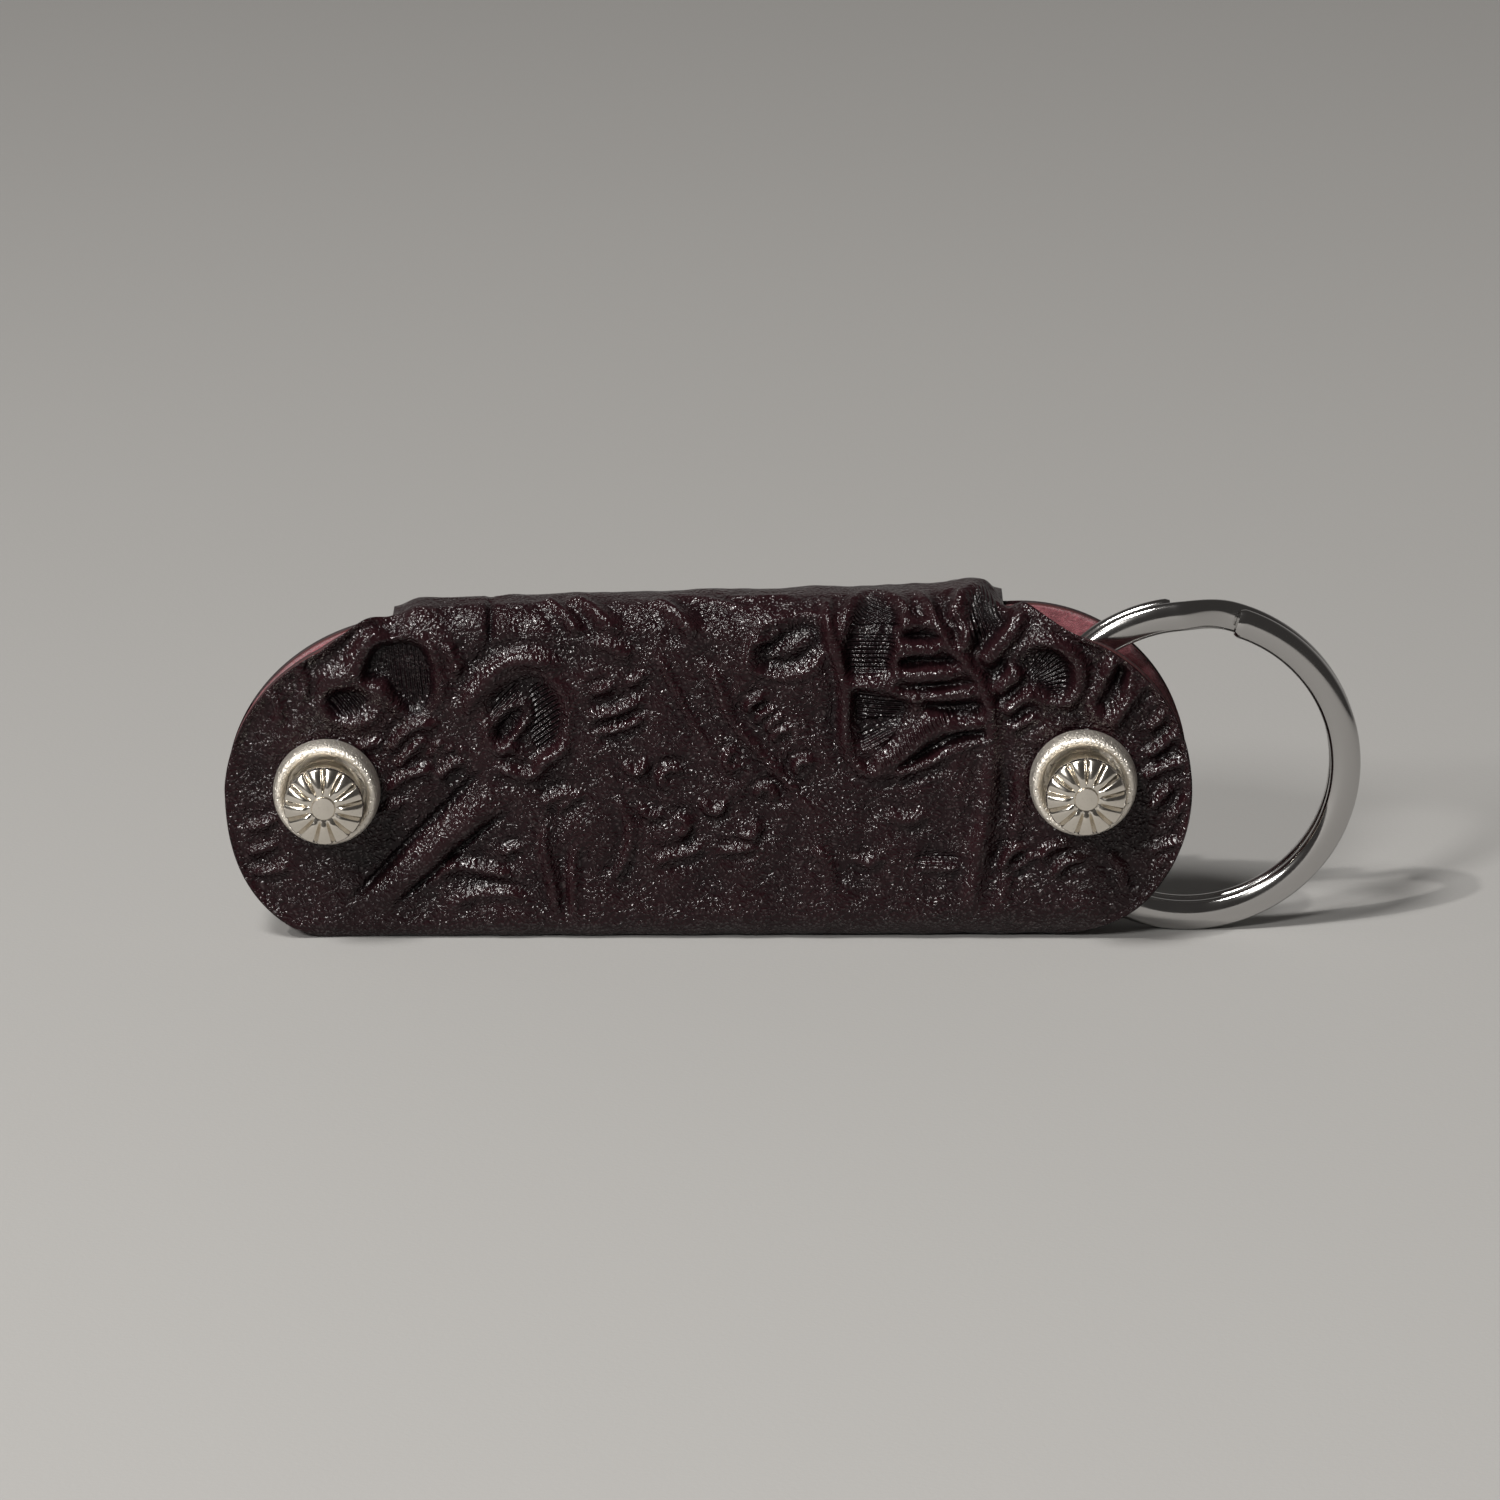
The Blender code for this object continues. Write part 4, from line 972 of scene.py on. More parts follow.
class Sheet:
    """One piece of leather: a fine grain side, rounded cut edges and a coarser flesh side.

    The faces' slots are 0 for the grain, 1 for the cut edge and 2 for the flesh side.
    """

    def __init__(self, strip, grid, side, canvas, coarse_from=None):
        self.x, self.p = grid
        self.rows, self.columns = self.x.shape
        self.side, self.coarse_from = side, coarse_from if coarse_from else self.rows
        base = strip.point(self.x, self.p)
        base[..., 2] -= crest_drop(strip, self.x, self.p) if side < 0 else 0.0
        along, up = np.gradient(base, axis=1), np.gradient(base, axis=0)
        normal = np.cross(along, up) * -side
        self.normal = normal / np.linalg.norm(normal, axis=-1, keepdims=True)
        self.base = base
        self.relief = canvas.at(self.x, self.p) * ease(self.edge_distance() / RELIEF_BORDER)
        phase, ruled = (canvas.at(self.x, self.p, layer) for layer in (canvas.phase, canvas.ruled))
        self.lines = np.stack([phase, ruled, np.zeros_like(ruled)], axis=-1)
        self.points, self.across, self.pattern, self.heights = [], [], [], []
        self.faces, self.slots = [], []
        self.build()

    def edge_distance(self):
        """How far each grain point is from the cut edge, near enough."""
        distances = [np.linalg.norm(self.base - self.base[-1:, :], axis=-1)]
        for end in (0, self.columns - 1):
            dx, dp = np.gradient(self.x[:, end]), np.gradient(self.p[:, end])
            slant = (np.abs(dp) / np.maximum(np.hypot(dx, dp), 1e-9))[:, None]
            away = self.base - self.base[:, end : end + 1]
            distances.append(np.linalg.norm(away, axis=-1) * slant)
        return np.min(distances, axis=0)

    def add(self, points, across, pattern, relief):
        """Adds points with what the materials read from them; returns the first one's number."""
        start = sum(len(p) for p in self.points)
        self.points.append(points)
        self.across.append(np.broadcast_to(across, len(points)))
        self.pattern.append(pattern)
        self.heights.append(np.broadcast_to(relief, len(points)))
        return start

    def boundary(self):
        """Grid places up the left edge, along the top and down the right edge."""
        top = self.rows - 1
        step = 2 if top > self.coarse_from else 1
        left = [(i, 0) for i in range(top)]
        over = [(top, j) for j in range(0, self.columns, step)]
        return left + over + [(i, self.columns - 1) for i in range(top - 1, -1, -1)]

    def build(self):
        grain = self.base + self.normal * self.relief[..., None]
        flat = np.stack([self.x, self.p], axis=-1) / MM
        self.add(grain.reshape(-1, 3), 0.0, flat.reshape(-1, 2), self.relief.ravel() / MM)
        self.grain_faces()
        ring = self.edge_faces(flat)
        self.flesh_faces(flat, ring)

    def index(self, i, j):
        return i * self.columns + j

    def grain_faces(self):
        """Faces over the grain side, twice as wide on the flap, which hangs behind."""
        for i in range(self.rows - 1):
            wide = 1 if i < self.coarse_from else 2
            for j in range(0, self.columns - 1, wide):
                low = [self.index(i, j), self.index(i, j + wide)]
                if i == self.coarse_from:
                    low.insert(1, self.index(i, j + 1))
                self.faces.append((*low, self.index(i + 1, j + wide), self.index(i + 1, j)))
        self.slots += [0] * len(self.faces)

    def edge_faces(self, flat):
        """The rounded cut edge; returns the numbers of its points on the flesh side by grid place."""
        places = self.boundary()
        i, j = np.array(places).T
        base, normal = self.base[i, j], self.normal[i, j]
        tangent = np.gradient(base, axis=0)
        tangent[0], tangent[-1] = base[1] - base[0], base[-1] - base[-2]
        outward = np.cross(normal, tangent) * self.side
        outward /= np.linalg.norm(outward, axis=-1, keepdims=True)
        bends = [QUARTER * step / EDGE_STEPS for step in range(1, EDGE_STEPS + 1)]
        rows = [(math.sin(bend), EDGE_ROUND * (1 - math.cos(bend))) for bend in bends]
        rows += [(1.0, mix(EDGE_ROUND, LEATHER - EDGE_ROUND, share)) for share in (0.35, 0.65, 1.0)]
        rows += [(math.cos(bend), LEATHER - EDGE_ROUND * (1 - math.sin(bend))) for bend in bends]
        rng = np.random.default_rng(EDGE_SEED)
        rough = np.convolve(rng.normal(0.0, 1.0, len(places) + 8), np.ones(5) / 5, "same")[4:-4]
        last = [self.index(*place) for place in places]
        first_column, last_column = [last[0]], [last[-1]]
        for reach, depth in rows:
            wobble = EDGE_WOBBLE * rough[:, None] * (0 < depth < LEATHER)
            points = base + outward * (EDGE_ROUND * reach + wobble) - normal * depth
            start = self.add(points, depth / LEATHER, flat[i, j], 0.0)
            now = list(range(start, start + len(places)))
            for k in range(len(places) - 1):
                self.faces.append((last[k], last[k + 1], now[k + 1], now[k]))
                self.slots.append(1)
            last = now
            first_column.append(now[0])
            last_column.append(now[-1])
        self.ring_ends = (first_column, last_column)
        return dict(zip(places, last))

    def flesh_faces(self, flat, ring):
        """The flesh side, which meets the ring of points along the cut edge."""
        every, top, right = FLESH_EVERY, self.rows - 1, self.columns - 1
        i, j = np.meshgrid(range(0, top, every), range(every, right, every), indexing="ij")
        points = self.base[i, j] - self.normal[i, j] * LEATHER
        start = self.add(points.reshape(-1, 3), 1.0, flat[i, j].reshape(-1, 2), 0.0)
        across = i.shape[1]
        inner = {
            (a * every, (b + 1) * every): start + a * across + b
            for a in range(i.shape[0])
            for b in range(across)
        }
        number = {**inner, **ring}
        for a in range(0, top, every):
            for b in range(0, right, every):
                loop = [number[a, b]]
                if b == 0:
                    loop += [number[a + k, 0] for k in range(1, every)]
                loop.append(number[a + every, b])
                if a + every == top:
                    loop += [number[top, b + k] for k in range(1, every) if (top, b + k) in number]
                loop.append(number[a + every, b + every])
                if b + every == right:
                    loop += [number[a + k, right] for k in range(every - 1, 0, -1)]
                loop.append(number[a, b + every])
                self.faces.append(tuple(loop))
                self.slots.append(2)
        self.seam_faces(number, right, every)

    def seam_faces(self, number, right, every):
        """Closes the cut along the sole's middle line, where the two pieces of leather meet."""
        for b in range(0, right, every):
            loop = [self.index(0, b + k) for k in range(every, -1, -1)]
            if b == 0:
                loop += self.ring_ends[0][1:-1]
            loop += [number[0, b], number[0, b + every]]
            if b + every == right:
                loop += self.ring_ends[1][-2:0:-1]
            self.faces.append(tuple(loop))
            self.slots.append(1)

    def object(self, name, materials):
        points = np.concatenate(self.points)
        used = np.zeros(len(points), bool)
        for face in self.faces:
            used[list(face)] = True
        renumber = np.cumsum(used) - 1
        faces = [tuple(int(renumber[v]) for v in face) for face in self.faces]
        if self.side > 0:
            faces = [face[::-1] for face in faces]
        data = bpy.data.meshes.new(name)
        data.from_pydata(points[used].tolist(), [], faces)
        data.polygons.foreach_set("material_index", self.slots)
        for material in materials:
            data.materials.append(material)
        flat = np.concatenate(self.pattern)
        offset = BACK_PATTERN if self.side > 0 else 0.0
        flat = np.column_stack([flat[:, 0], flat[:, 1] + offset, np.concatenate(self.across)])
        ruled = np.zeros((len(points), 3))
        ruled[: self.rows * self.columns] = self.lines.reshape(-1, 3)
        for label, values in (("pattern", flat), ("lines", ruled)):
            layer = data.attributes.new(label, "FLOAT_VECTOR", "POINT")
            layer.data.foreach_set("vector", values[used].astype(np.float32).ravel())
        layer = data.attributes.new("relief", "FLOAT", "POINT")
        layer.data.foreach_set("value", np.concatenate(self.heights)[used].astype(np.float32))
        data.shade_smooth()
        return in_scene(name, data)


# Materials


class Nodes:
    """Short calls for building the nodes of a material or a world."""

    def __init__(self, owner):
        owner.use_nodes = True
        self.owner, self.tree = owner, owner.node_tree

    def node(self, kind, inputs=None, **settings):
        made = self.tree.nodes.new("ShaderNode" + kind)
        for key, value in settings.items():
            setattr(made, key, value)
        for key, value in (inputs or {}).items():
            self.put(made.inputs[key], value)
        return made

    def put(self, socket, value):
        if isinstance(value, bpy.types.NodeSocket):
            self.tree.links.new(value, socket)
        elif isinstance(value, bpy.types.Node):
            self.tree.links.new(value.outputs[0], socket)
        else:
            socket.default_value = value

    def attribute(self, name):
        return self.node("Attribute", attribute_name=name)

    def noise(self, vector, scale, detail=3.0, roughness=0.5, distortion=0.0):
        values = {"Vector": vector, "Scale": scale, "Detail": detail, "Roughness": roughness}
        return self.node("TexNoise", {**values, "Distortion": distortion}).outputs[0]

    def cells(self, vector, scale, smoothness=None):
        """Distance to the nearest cell's middle, with soft borders where a smoothness is given."""
        values = {"Vector": vector, "Scale": scale, "Randomness": 1.0}
        if smoothness is None:
            return self.node("TexVoronoi", values).outputs["Distance"]
        values["Smoothness"] = smoothness
        return self.node("TexVoronoi", values, feature="SMOOTH_F1").outputs["Distance"]

    def maths(self, operation, a, b=0.0, c=0.0):
        made = self.node("Math", operation=operation)
        for socket, value in zip(made.inputs, (a, b, c)):
            self.put(socket, value)
        return made.outputs[0]

    def span(self, value, low, high, to_low=0.0, to_high=1.0):
        return self.node("MapRange", {0: value, 1: low, 2: high, 3: to_low, 4: to_high}).outputs[0]

    def blend(self, share, a, b):
        made = self.node("Mix", data_type="RGBA")
        for index, value in ((0, share), (6, a), (7, b)):
            self.put(made.inputs[index], value)
        return made.outputs[2]

    def bump(self, height, distance):
        return self.node("Bump", {"Height": height, "Distance": distance, "Strength": 1.0}).outputs[0]

    def finish(self, **values):
        names = {
            "colour": "Base Color", "rough": "Roughness", "metal": "Metallic", "normal": "Normal",
            "specular": "Specular IOR Level", "sheen": "Sheen Weight",
        }
        for key, value in values.items():
            self.put(self.tree.nodes["Principled BSDF"].inputs[names[key]], value)
        return self.owner


def grain_material():
    """Aubergine leather: glossy pebbled grain, short creases, ruled lines and dark hollows."""
    n = Nodes(bpy.data.materials.new("dressed_leather"))
    flat = n.attribute("pattern").outputs["Vector"]
    relief = n.attribute("relief").outputs["Fac"]
    warp = n.node("TexNoise", {"Vector": flat, "Scale": 0.7, "Detail": 1.0}).outputs["Color"]
    bent = n.node("VectorMath", {0: flat, 1: warp}, operation="ADD").outputs[0]
    pebble = n.cells(bent, PEBBLE_SCALE, smoothness=0.35)
    crease = n.noise(bent, CREASE_SCALE, detail=1.5, distortion=1.2)
    patch = n.span(n.noise(flat, 0.3, detail=2.0, roughness=0.6), 0.36, 0.62, 0.6, 1.0)
    grain = n.maths("MULTIPLY_ADD", pebble, -PEBBLE_SHARE, n.maths("MULTIPLY", crease, CREASE_SHARE))
    ruled = n.node("SeparateXYZ", {0: n.attribute("lines").outputs["Vector"]}).outputs
    stripe = n.maths("SINE", n.maths("MULTIPLY", ruled[0], 2 * math.pi))
    worn = n.span(relief, 0.1, 0.5, 1.0, 0.55)
    clear = n.maths("MULTIPLY", worn, n.maths("SUBTRACT", 1.0, n.maths("MULTIPLY", ruled[1], 0.6)))
    depth = n.maths("MULTIPLY", clear, GRAIN_DEPTH)
    height = n.maths("MULTIPLY", n.maths("MULTIPLY", grain, patch), depth)
    height = n.maths("MULTIPLY_ADD", n.maths("MULTIPLY", stripe, ruled[1]), LINE_DEPTH, height)
    normal = n.bump(height, 1.0)
    low = n.span(relief, -0.75, -0.05, 0.0, 1.0)
    tone = n.noise(flat, 0.35, detail=5.0, roughness=0.6)
    colour = n.blend(low, HOLLOW_DYE, n.blend(tone, DARK_DYE, LIGHT_DYE))
    speck = n.span(pebble, 0.0, 0.4, 1.0, 0.0)
    colour = n.blend(n.maths("MULTIPLY", speck, 0.4), colour, PEBBLE_DYE)
    rough = n.span(n.noise(flat, 0.6, detail=4.0), 0.3, 0.7, 0.15, 0.25)
    gloss = n.span(pebble, 0.1, 0.45, 0.9, 0.22)
    return n.finish(colour=colour, rough=rough, normal=normal, specular=gloss)


def edge_material():
    """Cut edges: red-brown in the middle, dark where the dye and the burnishing reach."""
    n = Nodes(bpy.data.materials.new("leather_edge"))
    flat = n.attribute("pattern").outputs["Vector"]
    across = n.node("SeparateXYZ", {0: flat}).outputs[2]
    fibre = n.noise(flat, 3.0, detail=4.0, roughness=0.7)
    middle = n.blend(fibre, EDGE_DARK, EDGE_LIGHT)
    rim = n.span(n.maths("ABSOLUTE", n.maths("SUBTRACT", across, 0.52)), 0.28, 0.5)
    colour = n.blend(rim, middle, EDGE_RIM)
    normal = n.bump(fibre, 0.12 * MM)
    return n.finish(colour=colour, rough=0.62, normal=normal, specular=0.3)


def flesh_material():
    """The raw side, dyed a mottled rose red, with loose fibres."""
    n = Nodes(bpy.data.materials.new("leather_flesh"))
    flat = n.attribute("pattern").outputs["Vector"]
    cloud = n.noise(flat, 1.1, detail=5.0, roughness=0.65)
    fibre = n.noise(flat, 6.0, detail=6.0, distortion=1.5)
    colour = n.blend(n.span(cloud, 0.3, 0.7), FLESH_DARK, FLESH_LIGHT)
    colour = n.blend(n.span(fibre, 0.52, 0.72), colour, FLESH_FIBRE)
    height = n.maths("ADD", fibre, n.maths("MULTIPLY", cloud, 0.8))
    normal = n.bump(height, 0.3 * MM)
    return n.finish(colour=colour, rough=0.93, normal=normal, specular=0.15, sheen=0.25)


def nickel_material(name, rough_low, rough_high, colour, pits, fineness=900.0):
    """Plated metal: fine pits drawn a little darker, random darker stains, uneven polish."""
    n = Nodes(bpy.data.materials.new(name))
    place = n.node("TexCoord").outputs["Object"]
    pit = n.span(n.cells(place, 2600.0), 0.0, 0.3, 1.0, 0.0)
    waves = n.noise(place, fineness, detail=3.0, roughness=0.55)
    height = n.maths("SUBTRACT", n.maths("MULTIPLY", waves, 0.6), n.maths("MULTIPLY", pit, 0.5))
    normal = n.bump(height, pits)
    stain = n.span(n.noise(place, 420.0, detail=4.0), 0.35, 0.7)
    shade = tuple(0.5 * c for c in colour[:3]) + (1,)
    tone = n.blend(n.maths("MULTIPLY", stain, 0.22), colour, shade)
    tone = n.blend(n.maths("MULTIPLY", pit, 0.3), tone, shade)
    rough = n.span(waves, 0.3, 0.7, rough_low, rough_high)
    return n.finish(colour=tone, rough=rough, metal=1.0, normal=normal)


def chrome_material():
    """Bright plating with a faint haze."""
    n = Nodes(bpy.data.materials.new("chrome"))
    place = n.node("TexCoord").outputs["Object"]
    haze = n.noise(place, 260.0, detail=4.0)
    rough = n.span(haze, 0.35, 0.7, 0.08, 0.16)
    normal = n.bump(n.noise(place, 90.0, detail=2.0), 0.01 * MM)
    return n.finish(colour=CHROME, rough=rough, metal=1.0, normal=normal)


def paper_material():
    """The plain grey floor."""
    n = Nodes(bpy.data.materials.new("floor"))
    place = n.node("TexCoord").outputs["Object"]
    tooth = n.noise(place, 2200.0, detail=3.0)
    cloud = n.noise(place, 3.0, detail=3.0)
    colour = n.blend(cloud, FLOOR_DARK, FLOOR_LIGHT)
    normal = n.bump(tooth, 0.02 * MM)
    return n.finish(colour=colour, rough=0.85, normal=normal, specular=0.25)


# Metal pieces


def grid_mesh(name, rings, material):
    """A tube through rings of points, each ring a closed loop, with flat ends."""
    rings = np.array(rings)
    count, around = rings.shape[:2]
    faces = []
    for i in range(count - 1):
        for j in range(around):
            k = (j + 1) % around
            faces.append((i * around + j, i * around + k, (i + 1) * around + k, (i + 1) * around + j))
    faces.append(tuple(range(around))[::-1])
    faces.append(tuple(range((count - 1) * around, count * around)))
    data = bpy.data.meshes.new(name)
    data.from_pydata(rings.reshape(-1, 3).tolist(), [], faces)
    mesh = bmesh.new()
    mesh.from_mesh(data)
    bmesh.ops.recalc_face_normals(mesh, faces=mesh.faces)
    mesh.to_mesh(data)
    mesh.free()
    data.shade_smooth()
    data.set_sharp_from_angle(angle=SHARP_EDGE)
    data.materials.append(material)
    return in_scene(name, data)


def softened(profile, radius, steps=4):
    """The profile with its corners rounded; a corner takes less than half of each side."""
    made = [profile[0]]
    for before, at, after in zip(profile, profile[1:], profile[2:]):
        before, at, after = (np.array(v, float) for v in (before, at, after))
        sides = [np.linalg.norm(end - at) for end in (before, after)]
        reach = min(radius, sides[0] / CORNER_SIDE, sides[1] / CORNER_SIDE)
        low = at + (before - at) / max(sides[0], 1e-9) * reach
        high = at + (after - at) / max(sides[1], 1e-9) * reach
        for share in np.linspace(0.0, 1.0, steps):
            made.append(tuple(mix(mix(low, at, share), mix(at, high, share), share)))
    return made + [profile[-1]]


def lathe(name, profile, place, material, around, tilt=0.0):
    """A body turned about the Y axis from (radius, y) points that start and end on or near the axis."""
    angles = np.linspace(0, 2 * math.pi, around, endpoint=False)
    rings = []
    for radius, y in profile:
        radius = max(radius, AXIS_RADIUS)
        ring = [radius * np.cos(angles), np.full(around, y), radius * np.sin(angles)]
        rings.append(np.stack(ring, axis=1))
    made = grid_mesh(name, rings, material)
    made.location = place
    made.rotation_euler = (0.0, 0.0, tilt)
    return made


def rim_rows(inner, outer, low, height):
    """(radius, y) points over a rounded rim between two radii."""
    rows = []
    middle, half, power = (inner + outer) / 2, (outer - inner) / 2, 2 / BEZEL_RIM_POWER
    for angle in np.linspace(math.pi, 0.0, 22):
        across = math.copysign(abs(math.cos(angle)) ** power, math.cos(angle))
        rows.append((middle + half * across, low - height * math.sin(angle) ** power))
    return rows


def make_bezel(name, x, z, material):
    """Cup washer: a rounded rim with a short skirt, round a flat floor."""
    rim = rim_rows(BEZEL_LIP, BEZEL_RADIUS, -BEZEL_SKIRT, BEZEL_HEIGHT - BEZEL_SKIRT)
    profile = [(BEZEL_BORE, -BEZEL_FLOOR), (BEZEL_LIP - 0.05 * MM, -BEZEL_FLOOR)] + rim
    profile += [(BEZEL_RADIUS, 0.0), (BEZEL_BORE, 0.0), (BEZEL_BORE, -BEZEL_FLOOR)]
    profile = profile[:1] + softened(profile[1:-1], 0.1 * MM) + profile[-1:]
    base = -half_thickness(x) - SEAT_GAP + HEAD_SINK
    tilt = -math.atan((RIGHT_HALF - LEFT_HALF) / (POST_RIGHT - POST_LEFT))
    return lathe(name, profile, (x, base, z), material, 160, tilt)


def petal_shares(angle):
    """(share of the groove's depth, share of the arch's height) at this angle on the knob."""
    phase = (angle * PETALS / (2 * math.pi)) % 1.0
    edge = np.minimum(phase, 1 - phase) * 2
    return np.exp(-((edge / 0.2) ** 2)), np.sin(math.pi * phase)


def make_knob(name, x, z, material):
    """Thumb screw: thirteen petals round a domed boss, on a smooth drum with a rolled rim."""
    around = PETALS * 24
    angles = QUARTER + np.linspace(0, 2 * math.pi, around, endpoint=False)
    groove, arch = petal_shares(angles - QUARTER)
    face = KNOB_REACH - BEZEL_FLOOR - 2 * SEAT_GAP
    neck = KNOB_RADIUS - KNOB_NECK
    rings = []

    def ring(radius, y, dip=0.0, lift=0.0, scallop=0.0):
        reach = radius - scallop * groove
        height = y + dip * groove - lift * arch
        rings.append(np.stack([reach * np.cos(angles), height, reach * np.sin(angles)], axis=1))

    for share in np.linspace(0.02, BOSS_EDGE, 8):
        ring(BOSS_RADIUS * share, -face - BOSS_HEIGHT * (1 - BOSS_SAG * share**2))
    for share in np.linspace(0.0, 1.0, 5)[1:]:
        angle = QUARTER * share
        radius = BOSS_RADIUS * mix(BOSS_EDGE, 1.0, math.sin(angle))
        ring(radius, -face - BOSS_HEIGHT * (1 - BOSS_SAG) * math.cos(angle) + 0.05 * MM * share)
    start = BOSS_RADIUS + 0.1 * MM
    for share in np.linspace(0.0, 1.0, 16):
        fall = KNOB_DOME * share**2.2
        ring(
            mix(start, KNOB_RADIUS - KNOB_CORNER, share),
            fall - face,
            PETAL_GROOVE * ease(share * 4) * mix(GROOVE_START, GROOVE_END, share),
            PETAL_ARCH * ease(share * 3),
        )
    for share in np.linspace(0.0, 1.0, 7)[1:]:
        angle = QUARTER * share
        ring(
            KNOB_RADIUS - KNOB_CORNER + KNOB_CORNER * math.sin(angle),
            KNOB_DOME - face + 0.25 * MM * (1 - math.cos(angle)),
            PETAL_GROOVE * GROOVE_END * (1 - 0.5 * share),
            PETAL_ARCH * (1 - share),
            1.3 * PETAL_SCALLOP * share,
        )
    rim_back = KNOB_DOME + KNOB_RIM - face
    ring(KNOB_RADIUS, rim_back - 0.08 * MM, PETAL_GROOVE * 0.3, 0.0, PETAL_SCALLOP)
    ring(KNOB_RADIUS - 0.05 * MM, rim_back, 0.0, 0.0, PETAL_SCALLOP * 0.5)
    ring(neck, rim_back + 0.12 * MM)
    for y in np.linspace(rim_back + 0.2 * MM, -0.05 * MM, 4):
        ring(neck, y)
    ring(neck - 0.1 * MM, 0.0)
    ring(SCREW_RADIUS, 0.0)
    for y in np.linspace(0.1 * MM, SCREW_LENGTH, 24):
        ring(SCREW_RADIUS - THREAD_DEPTH * (1 + math.cos(2 * math.pi * y / THREAD_PITCH)) / 2, y)
    ring(SCREW_RADIUS * 0.6, SCREW_LENGTH)
    made = grid_mesh(name, rings, material)
    made.location = (x, -half_thickness(x) - 2 * SEAT_GAP - BEZEL_FLOOR, z)
    return made


def make_post(name, x, z, material):
    """Tubular post with a domed, slotted head on the back panel."""
    half = half_thickness(x)
    front, head = -half - SEAT_GAP - BEZEL_FLOOR, half + HEAD_SINK
    back, bore_end = head + POST_HEAD_THICKNESS, head - POST_BORE_REST
    bore = SCREW_RADIUS + HOLE_GAP
    outer = [(bore, bore_end), (bore, front), (POST_RADIUS, front), (POST_RADIUS, head)]
    out, up = POST_HEAD_POWERS
    crown_rows = [
        (POST_HEAD_RADIUS * math.cos(a) ** out, back - POST_HEAD_FALL * (1 - math.sin(a) ** up))
        for a in np.linspace(0.02, QUARTER, 18)
    ]
    corners = outer + [(POST_HEAD_RADIUS, head), crown_rows[0]]
    profile = [(0.0, bore_end)] + softened(corners, 0.12 * MM)[:-1] + crown_rows[:-1] + [(0.0, back)]
    made = lathe(name, profile, (x, 0.0, z), material, 128)
    mesh = bmesh.new()
    bmesh.ops.create_cube(mesh, size=1.0)
    size = (2 * (POST_HEAD_RADIUS + 1 * MM), 2 * SLOT_DEPTH, SLOT_WIDTH)
    bmesh.ops.scale(mesh, vec=size, verts=mesh.verts)
    tool = in_scene(name + "_slot", mesh_data(name + "_slot", mesh))
    tool.location = (x, back, z)
    cut = made.modifiers.new("Slot", "BOOLEAN")
    cut.operation, cut.object = "DIFFERENCE", tool
    bpy.context.view_layer.update()
    graph = bpy.context.evaluated_depsgraph_get()
    cut_mesh = bpy.data.meshes.new_from_object(made.evaluated_get(graph))
    made.modifiers.clear()
    made.data = cut_mesh
    bpy.data.objects.remove(tool, do_unlink=True)
    cut_mesh.shade_smooth()
    cut_mesh.set_sharp_from_angle(angle=SHARP_EDGE)
    return made


def snap_profiles():
    """(radius, y) profiles of the four snap pieces, y measured from the strip's middle plane."""
    face = half_thickness(SNAP_X)
    inside, foot = face - LEATHER - SEAT_GAP, face + SEAT_GAP
    flange = foot + SNAP_WALL
    top = flange + SNAP_KNOB_HEIGHT
    back = face + SNAP_STACK - SEAT_GAP
    mouth, floor = back - SNAP_SOCKET_DEPTH, back - SNAP_THIN_WALL
    outer = back + SEAT_GAP + LEATHER + HEAD_SINK

    def turned(points, radius):
        return softened([(r * MM, y) for r, y in points], radius)

    crown_rows = [
        (SNAP_CAP_RADIUS * math.cos(a) ** 0.5, outer + 0.3 * MM + 1.15 * MM * math.sin(a) ** 1.1)
        for a in np.linspace(0.05, QUARTER, 20)[:-1]
    ]
    rivet = [(0.0, inside - SNAP_WALL), (3.9, inside - SNAP_WALL), (3.9, inside), (1.5, inside)]
    stud = [(0.0, top - SNAP_WALL), (1.8, top - SNAP_WALL), (1.8, foot), (4.2, foot), (4.2, flange)]
    knob = [(2.07, flange), (2.3, flange + 0.72 * MM), (1.95, top), (1.2, top - 0.12 * MM)]
    socket = [(1.8, back), (4.3, back), (4.3, mouth), (3.7, mouth), (2.85, mouth + 0.15 * MM)]
    grip = [(2.6, mouth + 0.7 * MM), (2.85, floor), (1.8, floor), (1.8, back)]
    cap = [(0.0, floor), (1.5, floor), (1.5, outer), (4.7, outer), (5.0, outer + 0.25 * MM)]
    return {
        "snap_post": turned(rivet + [(1.5, flange), (0.0, flange)], 0.2 * MM),
        "snap_stud": turned(stud + knob + [(0.0, top - 0.2 * MM)], 0.15 * MM),
        "snap_socket": turned(socket + grip, 0.12 * MM),
        "snap_cap": turned(cap, 0.1 * MM) + crown_rows + [(0.0, outer + 1.45 * MM)],
    }


def ring_section(steps=40):
    """(outwards, y) points of the wire's oval section."""
    angles = np.linspace(0, 2 * math.pi, steps, endpoint=False)
    return [(math.cos(a) * RING_BAND / 2, math.sin(a) * RING_WIRE / 2) for a in angles]


